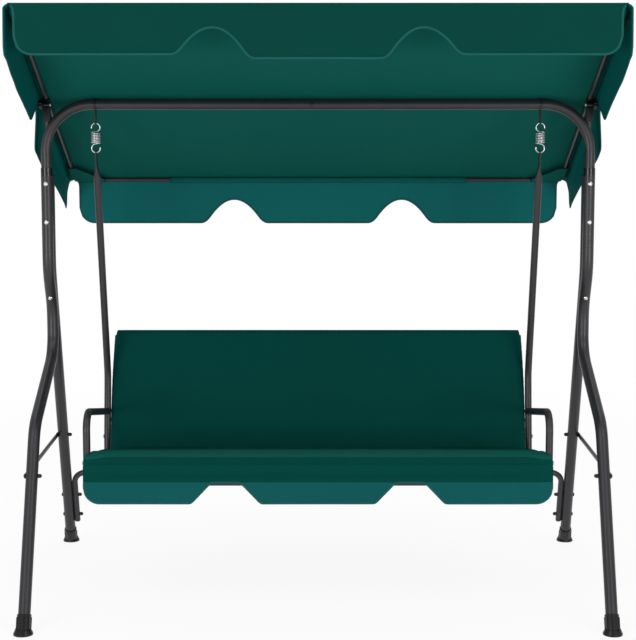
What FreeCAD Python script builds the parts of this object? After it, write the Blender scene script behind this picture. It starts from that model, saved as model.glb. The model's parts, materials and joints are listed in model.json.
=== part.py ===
"""Three-seat swing bench with a tilting canopy, in millimetres.

X runs along the bench, the front faces -Y and Z is up. The origin is on the floor, midway between the feet.
Pieces are modelled on the +X side and mirrored where the bench has a pair.
"""
import FreeCAD
import Part
import math
import os

V = FreeCAD.Vector
X_AXIS = V(1, 0, 0)
Y_AXIS = V(0, 1, 0)
Z_AXIS = V(0, 0, 1)

# Overall width
cloth_half_width = 850.0
cloth_side_reach = 25.0
stub_inset = 4.0
hanger_inset = 152.0
pad_inset = 14.0
back_inset = 20.0
roll_outset = 3.0
canopy_x = cloth_half_width - cloth_side_reach
leg_x = canopy_x + stub_inset
hanger_x = leg_x - hanger_inset
pad_half_width = hanger_x - pad_inset
back_top_half_width = hanger_x - back_inset
roll_half_width = hanger_x + roll_outset

# Clearances
fit_gap = 0.3
hole_gap = 0.25
seat_gap = 0.1

# Legs
leg_dia = 35.0
leg_wall = 1.2
leg_lean_deg = 26.8
rear_spread = 35.0
leg_top_z = 1278.0
front_bend_z = 985.0
front_knee_top_z = 872.0
front_knee_low_z = 729.0
front_shin_y = -290.0
front_shin_z = 552.0
front_knee_top_radius = 170.0
front_knee_low_radius = 108.0
front_shin_radius = 120.0
rear_bend_radius = 150.0
leg_end_z = 14.0
plug_head_height = 3.0
plug_stem_length = 14.0

# Feet
foot_collar_dia = 41.0
foot_collar_length = 40.0
foot_flange_dia = 56.0
foot_neck_dia = 45.0
foot_flange_height = 4.0
foot_flare_height = 12.0
foot_rib_count = 10
foot_rib_width = 2.4
foot_rib_depth = 1.3
foot_rib_share = 0.86

# Top beam
beam_dia = 32.0
beam_wall = 1.2
beam_z = 1493.6
beam_corner_radius = 140.0
beam_plug_length = 160.0
beam_half_gap = 0.4
sleeve_length = 160.0
sleeve_wall = 1.5
beam_bolt_x = -18.0
collar_height = 24.0
collar_dia = 35.0

# Bolts
bolt_dia = 6.0
bolt_head_dia = 13.0
bolt_head_height = 3.6
bolt_end_length = 6.0
cap_nut_dia = 12.0
cap_nut_length = 11.0
leg_bolt_drops = (24.0, 141.0, 354.0)

# Rear crossbar and side braces
crossbar_dia = 19.0
crossbar_wall = 1.0
crossbar_run_z = 272.0
crossbar_end_z = 84.0
crossbar_bend_radius = 42.0
crossbar_bolt_heights = (186.0, 109.0)
brace_dia = 12.0
brace_wall = 1.0
brace_z = 416.0
brace_tab_length = 34.0
brace_tab_width = 16.0
brace_tab_thick = 2.4
brace_taper_length = 26.0

# Hanger loops and springs
loop_wire = 4.0
loop_eye_radius = 6.0
hook_z = 1438.0
spring_wire = 4.0
spring_radius = 13.0
spring_pitch = 4.9
spring_turns = 6.5
hook_step = 2.5
hook_start_deg = -75.0
hook_sweep_deg = 270.0
crossing_place = (-0.42, -0.56, 0.5)
crossing_course = (0.97, 0.2, 0.14)

# Hanger arms and armrests
arm_dia = 22.0
arm_wall = 1.2
arm_lean_deg = 14.4
arm_knee_z = 640.0
arm_knee_radius = 120.0
arm_shin_deg = 8.0
arm_end_z = 388.0
arm_tab_thick = 3.0
arm_tab_width = 26.0
arm_tab_length = 34.0
arm_taper_length = 42.0
arm_hole_dia = 9.0
armrest_front_y = -295.0
armrest_front_z = 595.0
armrest_rear_z = 522.0
armrest_bend_radius = 50.0
armrest_end_z = 420.0

# Seat and back tubes
seat_dia = 19.0
seat_wall = 1.0
seat_front_y = -320.0
spacer_length = 12.0
spacer_dia = 16.0
seat_front_z = 448.0
seat_rear_y = 112.0
seat_slope_deg = 10.0
seat_front_radius = 40.0
seat_rear_radius = 60.0
front_tube_z = 391.0
back_lean_deg = 19.0
back_top_z = 766.0

# Padded seat and back, front valance
pad_edge_thick = 11.0
pad_mid_thick = 19.0
pad_edge_run = 45.0
roll_back_gap = 2.5
roll_end_thick = 9.0
pad_hem_rise = 4.0
back_taper = 0.0125
back_hood_depth = 95.0
back_hood_thick = 3.0
back_hood_rise = 0.5
pad_seam_deg = 0.6
valance_thick = 3.0
valance_bottom_z = 329.0
valance_end_radius = 58.0
valance_cut_x = 268.6
valance_cut_top_half = 42.0
valance_cut_low_half = 101.0
valance_cut_depth = 62.0
valance_cut_radius = 14.0

# Canopy frame
canopy_dia = 14.0
canopy_wall = 1.0
canopy_rise = 13.6
canopy_tilt_deg = 25.3
canopy_front_length = 530.0
canopy_rear_length = 578.0
canopy_corner_radius = 40.0
canopy_joint_run = 20.0

# Canopy cloth
cloth_thick = 2.4
cloth_overhang = 16.0
flap_drop = 134.0
rear_flap_drop = 144.0
middle_lobe_extra = 9.0
front_flap_inset = 12.0
rear_flap_inset = 33.0
side_flap_inset = 6.0
flap_end_radius = 46.0
side_end_radius = 20.0
front_cut_x = 285.6
front_cut_half = 114.0
front_cut_depth = 76.0
side_cut_half = 84.0
side_cut_depth = 70.0

# Canopy brackets and knobs
stub_dia = 15.0
stub_top_z = 1464.0
bracket_width_x = 20.0
bracket_width_y = 22.0
bracket_base_z = 1442.0
bracket_cheek = 2.4
bracket_top_radius = 7.0
bracket_slot_drop = 11.0
clamp_dia = 19.0
clamp_length = 34.0
clamp_lip = 5.0
clamp_ear_radius = 9.0
pivot_bolt_dia = 6.0
pivot_head_dia = 11.0
pivot_head_height = 4.0
knob_dia = 30.0
knob_length = 9.2
knob_hub_dia = 16.0
knob_hub_length = 2.0
knob_lobes = 6
knob_scoop_radius = 5.0
knob_scoop_out = 2.2
knob_bore_depth = 7.5

os.makedirs("parts", exist_ok=True)


# Helpers

def save(name, shape):
    """Write one named piece."""
    shape.exportStep(os.path.join("parts", name + ".step"))


def save_pair(name, shape):
    """Write a piece of the +X side and its mirror image."""
    save(name + "_right", shape)
    save(name + "_left", mirrored(shape))


def mirrored(shape):
    return shape.mirror(V(0, 0, 0), X_AXIS)


def both_sides(shapes):
    """One group of separate solids: those given and their mirror images."""
    solids = []
    for shape in shapes:
        solids += [shape, mirrored(shape)]
    return Part.makeCompound(solids)


def bent_path(points, radii):
    """Wire of straight runs through the points, with a tangent arc at each inner point."""
    edges = []
    start = points[0]
    for corner, after, radius in zip(points[1:-1], points[2:], radii):
        into = (corner - start).normalize()
        out = (after - corner).normalize()
        half_turn = into.getAngle(out) / 2
        reach = radius * math.tan(half_turn)
        arc_start = corner - into * reach
        arc_end = corner + out * reach
        inward = (out - into).normalize()
        arc_mid = corner + inward * (radius / math.cos(half_turn) - radius)
        edges.append(Part.LineSegment(start, arc_start).toShape())
        edges.append(Part.Arc(arc_start, arc_mid, arc_end).toShape())
        start = arc_end
    edges.append(Part.LineSegment(start, points[-1]).toShape())
    return Part.Wire(edges)


def disc_at_start(path, radius):
    """Round face square to a wire's start."""
    first = path.OrderedEdges[0]
    start = first.valueAt(first.FirstParameter)
    along = first.tangentAt(first.FirstParameter)
    return Part.Face(Part.Wire(Part.makeCircle(radius, start, along)))


def sweep(path, radius):
    """Round bar along a wire."""
    return path.makePipe(disc_at_start(path, radius))


def tube(path, dia, wall):
    """Hollow tube along a wire."""
    ring = disc_at_start(path, dia / 2).cut(disc_at_start(path, dia / 2 - wall)).Faces[0]
    return path.makePipe(ring)


def wound(path, radius):
    """Unbroken round wire along a wound path."""
    ring = disc_at_start(path, radius).OuterWire
    return path.makePipeShell([ring], True, False)


def bar(start, end, dia):
    """Solid round bar between two points."""
    along = end - start
    return Part.makeCylinder(dia / 2, along.Length, start, along)


def drilled(shape, centre, along, dia, reach):
    """Cut a straight hole of the given reach to both sides of its centre."""
    axis = V(along).normalize()
    return shape.cut(bar(centre - axis * reach, centre + axis * reach, dia))


def turned(outline, face, along):
    """Solid of revolution: (radius, height) corners, or arcs of three, turned about an axis from a face."""
    edges = []
    for corner in outline:
        spots = [V(radius, 0, height) for radius, height in corner]
        edges.append(Part.Arc(*spots).toShape() if len(spots) == 3 else Part.LineSegment(*spots).toShape())
    solid = Part.Face(Part.Wire(edges)).revolve(V(0, 0, 0), Z_AXIS, 360)
    solid.Placement = FreeCAD.Placement(face, FreeCAD.Rotation(Z_AXIS, along))
    return solid


def bolt(head_face, along, length):
    """Round-headed bolt whose shank runs along the axis from the face under its head."""
    rim = bolt_head_dia / 2
    shank = bolt_dia / 2
    brim = -bolt_head_height / 3
    top = -bolt_head_height
    return turned([
        [(0, top), (rim * 0.7, (brim + 2 * top) / 3), (rim, brim)],
        [(rim, brim), (rim, 0)],
        [(rim, 0), (shank, 0)],
        [(shank, 0), (shank, length)],
        [(shank, length), (0, length)],
        [(0, length), (0, top)],
    ], head_face, along)


def cap_nut(face, along):
    """Domed cap nut on a bolt's end, with a blind bore for the shank."""
    radius = cap_nut_dia / 2
    bore = bolt_dia / 2 + seat_gap
    wall = cap_nut_length - radius
    slant = radius * math.sqrt(0.5)
    return turned([
        [(bore, 0), (radius, 0)],
        [(radius, 0), (radius, wall)],
        [(radius, wall), (slant, wall + slant), (0, cap_nut_length)],
        [(0, cap_nut_length), (0, wall)],
        [(0, wall), (bore, wall)],
        [(bore, wall), (bore, 0)],
    ], face, along)


def slot_profile(centre, wide_axis, thin_axis, width, thick):
    """Closed outline with straight long sides and round short ends."""
    reach = wide_axis * (width / 2 - thick / 2)
    side = thin_axis * (thick / 2)
    tip = wide_axis * (width / 2)
    corners = [centre + reach + side, centre + reach - side, centre - reach - side, centre - reach + side]
    edges = [
        Part.Arc(corners[0], centre + tip, corners[1]).toShape(),
        Part.LineSegment(corners[1], corners[2]).toShape(),
        Part.Arc(corners[2], centre - tip, corners[3]).toShape(),
        Part.LineSegment(corners[3], corners[0]).toShape(),
    ]
    return Part.Wire(edges)


def round_profile(centre, wide_axis, thin_axis, radius):
    """Circle cut into the four edges that a slot outline has, so that the two can be lofted."""
    edges = []
    spread = math.pi / 4
    angles = [spread, -spread, -math.pi + spread, -math.pi - spread, -2 * math.pi + spread]
    for begin, end in zip(angles[:-1], angles[1:]):
        spots = []
        for turn in (begin, (begin + end) / 2, end):
            out = wide_axis * math.cos(turn) + thin_axis * math.sin(turn)
            spots.append(centre + out * radius)
        edges.append(Part.Arc(*spots).toShape())
    return Part.Wire(edges)


def flattened_end(hole, toward_tube, thin_axis, dia, width, thick, tab_length, taper_length, hole_dia):
    """Tube end pressed flat: a drilled tab with a round tip, then a taper up to the round tube."""
    along = V(toward_tube).normalize()
    wide = along.cross(thin_axis).normalize()
    half = thin_axis * (thick / 2)
    tip = Part.makeCylinder(width / 2, thick, hole - half, thin_axis)
    corner = hole - half - wide * (width / 2)
    plate = Part.Face(Part.makePolygon([
        corner,
        corner + wide * width,
        corner + wide * width + along * tab_length,
        corner + along * tab_length,
        corner,
    ])).extrude(thin_axis * thick)
    flat = slot_profile(hole + along * tab_length, wide, thin_axis, width, thick)
    full = round_profile(hole + along * (tab_length + taper_length), wide, thin_axis, dia / 2)
    taper = Part.makeLoft([flat, full], True, True)
    end = tip.fuse([plate, taper])
    return drilled(end, hole, thin_axis, hole_dia, width)


# Legs

front_post_y = -(leg_dia + seat_gap) / 2
rear_post_y = -front_post_y
leg_radius = leg_dia / 2
leg_pitch = leg_dia + seat_gap
leg_lean = math.radians(leg_lean_deg)
rear_bend_z = front_bend_z + leg_pitch * math.tan(leg_lean / 2)
front_bend_radius = rear_bend_radius + leg_pitch
front_knee_y = front_post_y + (front_bend_z - front_knee_top_z) * math.tan(leg_lean)
foot_reach = rear_post_y + rear_bend_z * math.tan(leg_lean)
rear_toe = math.atan2(rear_spread, foot_reach - rear_post_y)


def rear_point(height, inward=0.0):
    """Point of the rear leg's straight lower run at a height, moved inwards along X."""
    back = (rear_bend_z - height) * math.tan(leg_lean)
    return V(leg_x + back * math.tan(rear_toe) - inward, rear_post_y + back, height)


def front_leg_points():
    return [
        V(leg_x, front_post_y, leg_top_z),
        V(leg_x, front_post_y, front_bend_z),
        V(leg_x, front_knee_y, front_knee_top_z),
        V(leg_x, front_knee_y, front_knee_low_z),
        V(leg_x, front_shin_y, front_shin_z),
        V(leg_x, -foot_reach, 0),
    ]


def cut_short(end, before, height):
    """The point at a height on the run from one point to the end point."""
    share = (height - end.z) / (before.z - end.z)
    return end + (before - end) * share


front_points = front_leg_points()
front_foot_axis = (front_points[-2] - front_points[-1]).normalize()
front_leg_end = cut_short(front_points[-1], front_points[-2], leg_end_z)
rear_foot = rear_point(0)
rear_foot_axis = (rear_point(rear_bend_z) - rear_foot).normalize()
rear_leg_end = rear_point(leg_end_z)


def leg_bolt_places():
    """Head point and direction of each bolt that joins a front leg to its rear leg."""
    places = []
    for drop in leg_bolt_drops:
        height = leg_top_z - drop
        straight = height > front_bend_z
        if straight:
            middle = V(leg_x, 0, height)
            along = V(0, 1, 0)
        else:
            on_rear = rear_point(height)
            along = V(0, math.cos(leg_lean), math.sin(leg_lean))
            middle = on_rear - along * (leg_pitch / 2)
            middle.x = leg_x
        places.append((middle - along * (leg_pitch + fit_gap), along))
    return places


bolt_hole = bolt_dia + 2 * hole_gap


def drill_leg_bolts(shape):
    for head, along in leg_bolt_places():
        shape = drilled(shape, head, along, bolt_hole, 3 * leg_dia)
    return shape


def side_bolt_holes(shape, spots, reach):
    for spot in spots:
        shape = drilled(shape, spot, X_AXIS, bolt_hole, reach)
    return shape


def front_point(height):
    """Point of the front leg's lowest straight run at a height."""
    return cut_short(front_points[-1], front_points[-2], height)


brace_front = front_point(brace_z)
brace_rear = rear_point(brace_z)
crossbar_bolt_spots = [rear_point(height) for height in crossbar_bolt_heights]

front_path = bent_path(
    front_points[:-1] + [front_leg_end],
    [front_bend_radius, front_knee_top_radius, front_knee_low_radius, front_shin_radius],
)
front_leg = tube(front_path, leg_dia, leg_wall)
front_leg = drill_leg_bolts(front_leg)
front_leg = side_bolt_holes(front_leg, [brace_front], leg_dia)
save_pair("front_leg", front_leg)

rear_path = bent_path(
    [V(leg_x, rear_post_y, leg_top_z), V(leg_x, rear_post_y, rear_bend_z), rear_leg_end],
    [rear_bend_radius],
)
rear_leg = tube(rear_path, leg_dia, leg_wall)
rear_leg = drill_leg_bolts(rear_leg)
rear_leg = side_bolt_holes(rear_leg, [brace_rear] + crossbar_bolt_spots, leg_dia)
save_pair("rear_leg", rear_leg)

plug_base = V(leg_x, rear_post_y, leg_top_z)
plug_stem_radius = leg_radius - leg_wall - hole_gap
rear_plug = turned([
    [(0, plug_head_height), (leg_radius, plug_head_height)],
    [(leg_radius, plug_head_height), (leg_radius, seat_gap)],
    [(leg_radius, seat_gap), (plug_stem_radius, seat_gap)],
    [(plug_stem_radius, seat_gap), (plug_stem_radius, -plug_stem_length)],
    [(plug_stem_radius, -plug_stem_length), (0, -plug_stem_length)],
    [(0, -plug_stem_length), (0, plug_head_height)],
], plug_base, Z_AXIS)
save("rear_leg_plugs", both_sides([rear_plug]))

bolts = []
for head, along in leg_bolt_places():
    bolts.append(bolt(head, along, 2 * leg_pitch + bolt_end_length))
save("leg_bolts", both_sides(bolts))


# Feet

def foot(ground, axis, leg_end):
    """Plastic foot cap: a flared flange on the floor and a ribbed collar up the leaning tube."""
    collar_top = leg_end + axis * foot_collar_length
    collar = bar(ground - axis * foot_collar_length, collar_top, foot_collar_dia)
    ribs = []
    rib_length = (collar_top - ground).Length * foot_rib_share
    side = (X_AXIS - axis * axis.x).normalize()
    for index in range(foot_rib_count):
        turn = FreeCAD.Rotation(axis, 360 * index / foot_rib_count)
        out = turn.multVec(side)
        root = ground + out * (foot_collar_dia / 2)
        ribs.append(bar(root, root + axis * rib_length, foot_rib_depth + foot_rib_width))
    floor_point = V(ground.x, ground.y, 0)
    flange = Part.makeCylinder(foot_flange_dia / 2, foot_flange_height, floor_point)
    flare = Part.makeCone(
        foot_flange_dia / 2, foot_neck_dia / 2, foot_flare_height, floor_point + Z_AXIS * foot_flange_height)
    body = collar.fuse(ribs + [flange, flare])
    under = 2 * foot_flange_dia
    below = Part.makeBox(2 * under, 2 * under, under, floor_point - V(under, under, under))
    body = body.cut(below)
    bore = bar(leg_end - axis * seat_gap, leg_end + axis * 4 * foot_collar_length, leg_dia + 2 * seat_gap)
    return body.cut(bore).removeSplitter()


save_pair("front_foot", foot(front_points[-1], front_foot_axis, front_leg_end))
save_pair("rear_foot", foot(rear_foot, rear_foot_axis, rear_leg_end))


# Top beam, sleeve and collars

beam_radius = beam_dia / 2
beam_path = bent_path(
    [
        V(beam_half_gap / 2, front_post_y, beam_z),
        V(leg_x, front_post_y, beam_z),
        V(leg_x, front_post_y, leg_top_z - beam_plug_length),
    ],
    [beam_corner_radius],
)
beam_half = drill_leg_bolts(tube(beam_path, beam_dia, beam_wall))
sleeve_dia = beam_dia - 2 * beam_wall - 2 * hole_gap
beam_middle = V(0, front_post_y, beam_z)
sleeve_ends = (beam_middle - X_AXIS * (sleeve_length / 2), beam_middle + X_AXIS * (sleeve_length / 2))
sleeve = bar(sleeve_ends[0], sleeve_ends[1], sleeve_dia).cut(
    bar(sleeve_ends[0], sleeve_ends[1], sleeve_dia - 2 * sleeve_wall))
beam_bolt_centre = beam_middle + X_AXIS * beam_bolt_x
beam_left = drilled(mirrored(beam_half), beam_bolt_centre, Y_AXIS, bolt_hole, beam_dia)
save("top_beam_right", beam_half)
save("top_beam_left", beam_left)
save("beam_sleeve", drilled(sleeve, beam_bolt_centre, Y_AXIS, bolt_hole, beam_dia))
beam_bolt_head = beam_bolt_centre - Y_AXIS * (beam_radius + seat_gap)
save("beam_bolt", bolt(beam_bolt_head, Y_AXIS, beam_dia + bolt_end_length))

leg_top = V(leg_x, front_post_y, leg_top_z)
collar = bar(leg_top + Z_AXIS * seat_gap, leg_top + Z_AXIS * collar_height, collar_dia)
collar = drilled(collar, leg_top, Z_AXIS, beam_dia + 2 * seat_gap, 2 * collar_height)
save("beam_collars", both_sides([collar]))


# Rear crossbar

crossbar_inset = leg_radius + crossbar_dia / 2 + fit_gap
crossbar_corner = rear_point(crossbar_run_z, crossbar_inset)
crossbar_end = rear_point(crossbar_end_z, crossbar_inset)
crossbar_path = bent_path(
    [
        mirrored(Part.Vertex(crossbar_end)).Point,
        mirrored(Part.Vertex(crossbar_corner)).Point,
        crossbar_corner,
        crossbar_end,
    ],
    [crossbar_bend_radius, crossbar_bend_radius],
)
crossbar = tube(crossbar_path, crossbar_dia, crossbar_wall)
crossbar_spots = crossbar_bolt_spots + [V(-spot.x, spot.y, spot.z) for spot in crossbar_bolt_spots]
save("rear_crossbar", side_bolt_holes(crossbar, crossbar_spots, 3 * leg_dia))

crossbar_bolts = []
crossbar_nuts = []
crossbar_stack = leg_dia + crossbar_dia + 2 * fit_gap
for spot in crossbar_bolt_spots:
    head = spot + X_AXIS * (leg_radius + fit_gap)
    crossbar_bolts.append(bolt(head, -X_AXIS, crossbar_stack + cap_nut_length - cap_nut_dia / 2 - seat_gap))
    crossbar_nuts.append(cap_nut(head - X_AXIS * (crossbar_stack + fit_gap), -X_AXIS))
save("crossbar_bolts", both_sides(crossbar_bolts))
save("crossbar_cap_nuts", both_sides(crossbar_nuts))


# Side braces

tab_offset = leg_radius + brace_tab_thick / 2 + fit_gap
brace_ends = (brace_front + X_AXIS * tab_offset, brace_rear + X_AXIS * tab_offset)
brace_along = (brace_ends[1] - brace_ends[0]).normalize()
brace_side = brace_along.cross(Z_AXIS).normalize()
brace_reach = brace_tab_length + brace_taper_length
brace_run = (brace_ends[0] + brace_along * brace_reach, brace_ends[1] - brace_along * brace_reach)
brace_bore = bar(brace_run[0], brace_run[1], brace_dia - 2 * brace_wall)
brace = bar(brace_run[0], brace_run[1], brace_dia).cut(brace_bore)
for end, along in ((brace_ends[0], brace_along), (brace_ends[1], -brace_along)):
    tab = flattened_end(end, along, brace_side, brace_dia, brace_tab_width, brace_tab_thick,
                        brace_tab_length, brace_taper_length, bolt_hole)
    brace = brace.fuse(tab)
save_pair("side_brace", brace)

brace_bolts = []
brace_nuts = []
brace_stack = leg_dia + brace_tab_thick + 3 * fit_gap
for spot in (brace_front, brace_rear):
    head = spot + X_AXIS * (leg_radius + brace_tab_thick + 2 * fit_gap)
    brace_bolts.append(bolt(head, -X_AXIS, brace_stack + cap_nut_length - cap_nut_dia / 2 - seat_gap))
    brace_nuts.append(cap_nut(head - X_AXIS * (brace_stack + fit_gap), -X_AXIS))
save("brace_bolts", both_sides(brace_bolts))
save("brace_cap_nuts", both_sides(brace_nuts))


# Hanger loops

loop_low_z = hook_z - (loop_wire + spring_wire) / 2 - fit_gap
loop_big = beam_radius + loop_wire / 2 + seat_gap
eye_centre = V(hanger_x, front_post_y, loop_low_z + loop_eye_radius)
beam_centre = V(hanger_x, front_post_y, beam_z)
loop_tilt = math.asin((loop_big - loop_eye_radius) / (beam_z - eye_centre.z))


def on_loop(centre, radius, turn):
    return centre + V(0, radius * math.cos(turn), radius * math.sin(turn))


big_ends = (on_loop(beam_centre, loop_big, -loop_tilt), on_loop(beam_centre, loop_big, math.pi + loop_tilt))
eye_ends = (
    on_loop(eye_centre, loop_eye_radius, math.pi + loop_tilt),
    on_loop(eye_centre, loop_eye_radius, -loop_tilt),
)
loop_path = Part.Wire([
    Part.Arc(big_ends[0], on_loop(beam_centre, loop_big, math.pi / 2), big_ends[1]).toShape(),
    Part.LineSegment(big_ends[1], eye_ends[0]).toShape(),
    Part.Arc(eye_ends[0], on_loop(eye_centre, loop_eye_radius, -math.pi / 2), eye_ends[1]).toShape(),
    Part.LineSegment(eye_ends[1], big_ends[0]).toShape(),
])
save_pair("hanger_loop", wound(loop_path, loop_wire / 2))


# Springs

def arc_from(start, along, end):
    """Arc that leaves a point along a direction and ends at another point."""
    chord = end - start
    span = V(chord).normalize()
    lean = span.getAngle(along)
    if lean < 1e-6:
        return Part.LineSegment(start, end).toShape()
    bulge = (along - span * along.dot(span)).normalize()
    middle = start + chord * 0.5 + bulge * (chord.Length / 2 * math.tan(lean / 2))
    return Part.Arc(start, middle, end).toShape()


def biarc(start, start_dir, end, end_dir):
    """Two arcs that join two points and leave and reach them along the given directions."""
    chord = end - start
    both = start_dir + end_dir
    bend = 2 * (1 - start_dir.dot(end_dir))
    mix = chord.dot(both)
    if bend < 1e-9:
        reach = chord.dot(chord) / (4 * chord.dot(end_dir))
    else:
        reach = (-mix + math.sqrt(mix * mix + bend * chord.dot(chord))) / bend
    joint = (start + start_dir * reach + end - end_dir * reach) * 0.5
    joint_dir = (joint - start) * (2 / (joint - start).Length)
    mid_dir = (joint_dir * joint_dir.dot(start_dir) * 0.5 - start_dir).normalize()
    return [arc_from(start, start_dir, joint), arc_from(joint, mid_dir, end)]


coil_height = spring_pitch * spring_turns
ring_z = coil_height / 2 + hook_step + spring_radius
spring_centre_z = hook_z - ring_z - spring_radius


def coil_stop(turn):
    """Point and direction of the coiled body at an angle, with its middle at the origin."""
    rise = spring_pitch / (2 * math.pi)
    middle_turn = math.pi / 2
    point = V(spring_radius * math.cos(turn), spring_radius * math.sin(turn), rise * (turn - middle_turn))
    along = V(-spring_radius * math.sin(turn), spring_radius * math.cos(turn), rise).normalize()
    return point, along


def ring_stop(degrees):
    """Point and direction of the upper hook, a ring that stands on the coiled body."""
    turn = math.radians(degrees)
    point = V(spring_radius * math.cos(turn), 0, ring_z + spring_radius * math.sin(turn))
    return point, V(-math.sin(turn), 0, math.cos(turn))


def spring_stops():
    """Points and directions along the wire, from the lower hook's open end to the upper hook's."""
    quarters = round(2 * spring_turns)
    out, side, up = crossing_place
    crossing = V(out * spring_radius, side * spring_radius, coil_height / 2 + up * hook_step)
    upper = [(crossing, V(*crossing_course).normalize())]
    for step in range(4):
        upper.append(ring_stop(hook_start_deg + step * hook_sweep_deg / 3))
    coil = [coil_stop(math.pi / 2 + math.pi / 2 * step) for step in range(quarters + 1)]
    upper_half = coil + upper
    lower_half = []
    for point, along in upper_half[:0:-1]:
        lower_half.append((V(-point.x, point.y, -point.z), V(along.x, -along.y, along.z)))
    return lower_half + upper_half


def least_gap(path, wire):
    """Smallest distance between stretches of the wire that aren't neighbours along it."""
    spacing = 1.0
    points = []
    for edge in path.OrderedEdges:
        points += edge.discretize(max(3, int(edge.Length / spacing)))[:-1]
    skip = int(3 * wire / spacing)
    nearest = 1e9
    for index, point in enumerate(points):
        for other in points[index + skip:]:
            nearest = min(nearest, point.distanceToPoint(other))
    return nearest - wire


stops = spring_stops()
spring_edges = []
for (start, start_dir), (end, end_dir) in zip(stops[:-1], stops[1:]):
    spring_edges += biarc(start, start_dir, end, end_dir)
spring_path = Part.Wire(spring_edges)
spring_gap = least_gap(spring_path, spring_wire)
print("spring wire: length %.1f, least gap to itself %.2f" % (spring_path.Length, spring_gap))
spring = wound(spring_path, spring_wire / 2)
spring.translate(V(-hanger_x, front_post_y, spring_centre_z))
save("spring_left", spring)
save("spring_right", mirrored(spring))


# Hanger arms and armrests

arm_lean = math.radians(arm_lean_deg)
arm_down = V(0, math.sin(arm_lean), -math.cos(arm_lean))
low_hook_z = spring_centre_z - ring_z - spring_radius
arm_hole = V(hanger_x, front_post_y, low_hook_z + spring_wire / 2 + fit_gap - arm_hole_dia / 2)
arm_start = arm_hole + arm_down * (arm_tab_length + arm_taper_length)
arm_knee = arm_hole + arm_down * ((arm_hole.z - arm_knee_z) / math.cos(arm_lean))
arm_drop = arm_knee_z - arm_end_z
arm_end = arm_knee + V(0, -math.tan(math.radians(arm_shin_deg)) * arm_drop, -arm_drop)
arm_path = bent_path([arm_start, arm_knee, arm_end], [arm_knee_radius])

seat_slope = math.tan(math.radians(seat_slope_deg))
seat_rear_z = seat_front_z - (seat_rear_y - seat_front_y) * seat_slope
back_lean = math.tan(math.radians(back_lean_deg))
side_tube_x = hanger_x - (arm_dia + seat_dia) / 2 - spacer_length - 2 * seat_gap


def arm_shin_y(height):
    return arm_knee.y - math.tan(math.radians(arm_shin_deg)) * (arm_knee_z - height)


def back_tube_y(height):
    return seat_rear_y + (height - seat_rear_z) * back_lean


shin_slope = math.tan(math.radians(arm_shin_deg))
shin_floor_y = arm_knee.y - shin_slope * arm_knee_z
back_floor_y = seat_rear_y - back_lean * seat_rear_z
cross_z = (shin_floor_y - back_floor_y) / (back_lean - shin_slope)
rear_bolt_spot = V(hanger_x, arm_shin_y(cross_z), cross_z)
front_bolt_z = seat_front_z - (armrest_front_y - seat_front_y) * seat_slope
front_bolt_spot = V(hanger_x, armrest_front_y, front_bolt_z)

arm = tube(arm_path, arm_dia, arm_wall)
arm = arm.fuse(flattened_end(arm_hole, arm_down, X_AXIS, arm_dia, arm_tab_width, arm_tab_thick,
                             arm_tab_length, arm_taper_length, arm_hole_dia))
save_pair("hanger_arm", side_bolt_holes(arm, [rear_bolt_spot], arm_dia))

armrest_rear = V(hanger_x, arm_shin_y(armrest_rear_z), armrest_rear_z)
armrest_path = bent_path(
    [
        armrest_rear,
        V(hanger_x, armrest_front_y, armrest_front_z),
        V(hanger_x, armrest_front_y, armrest_end_z),
    ],
    [armrest_bend_radius],
)
armrest = tube(armrest_path, arm_dia, arm_wall).cut(sweep(arm_path, arm_dia / 2 + seat_gap))
armrest = max(armrest.Solids, key=lambda solid: solid.Volume)
save_pair("armrest", side_bolt_holes(armrest, [front_bolt_spot], arm_dia))


# Seat and back tubes

seat_radius = seat_dia / 2
back_top_y = back_tube_y(back_top_z)
side_tube_points = [
    V(side_tube_x, seat_front_y, front_tube_z - seat_radius),
    V(side_tube_x, seat_front_y, seat_front_z),
    V(side_tube_x, seat_rear_y, seat_rear_z),
    V(side_tube_x, back_top_y, back_top_z),
]
side_tube_path = bent_path(side_tube_points, [seat_front_radius, seat_rear_radius])
side_tube = tube(side_tube_path, seat_dia, seat_wall)
side_tube = side_bolt_holes(side_tube, [rear_bolt_spot, front_bolt_spot], 2 * arm_dia + spacer_length)
save_pair("seat_side_tube", side_tube)


def cross_tube(y, z):
    """Straight tube between the two side tubes, coped to their round sides."""
    start = V(-side_tube_x, y, z)
    end = V(side_tube_x, y, z)
    piece = bar(start, end, seat_dia).cut(bar(start, end, seat_dia - 2 * seat_wall))
    for side in (1, -1):
        path = side_tube_path if side > 0 else mirrored(side_tube_path)
        piece = piece.cut(sweep(path, seat_radius + seat_gap))
    return max(piece.Solids, key=lambda solid: solid.Volume)


rear_tube_y = seat_rear_y - seat_rear_radius
rear_tube_z = seat_rear_z + (seat_rear_y - rear_tube_y) * seat_slope
save("seat_front_tube", cross_tube(seat_front_y, front_tube_z))
save("seat_rear_tube", cross_tube(rear_tube_y, rear_tube_z))
save("back_top_tube", cross_tube(back_tube_y(back_top_z - seat_radius), back_top_z - seat_radius))

seat_bolts = []
seat_stack = arm_dia + seat_dia + spacer_length + 2 * (seat_gap + fit_gap)
for spot in (rear_bolt_spot, front_bolt_spot):
    head = spot + X_AXIS * (arm_dia / 2 + fit_gap)
    seat_bolts.append(bolt(head, -X_AXIS, seat_stack))
save("seat_bolts", both_sides(seat_bolts))


def spacer(spot, path):
    """Short sleeve round a seat bolt, hollowed at both ends to sit on the two tubes."""
    far = V(side_tube_x, spot.y, spot.z)
    piece = bar(spot, far, spacer_dia).cut(bar(spot, far, bolt_dia + 2 * hole_gap))
    piece = piece.cut(sweep(path, arm_dia / 2 + seat_gap))
    piece = piece.cut(sweep(side_tube_path, seat_radius + seat_gap))
    return max(piece.Solids, key=lambda solid: solid.Volume)


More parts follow.
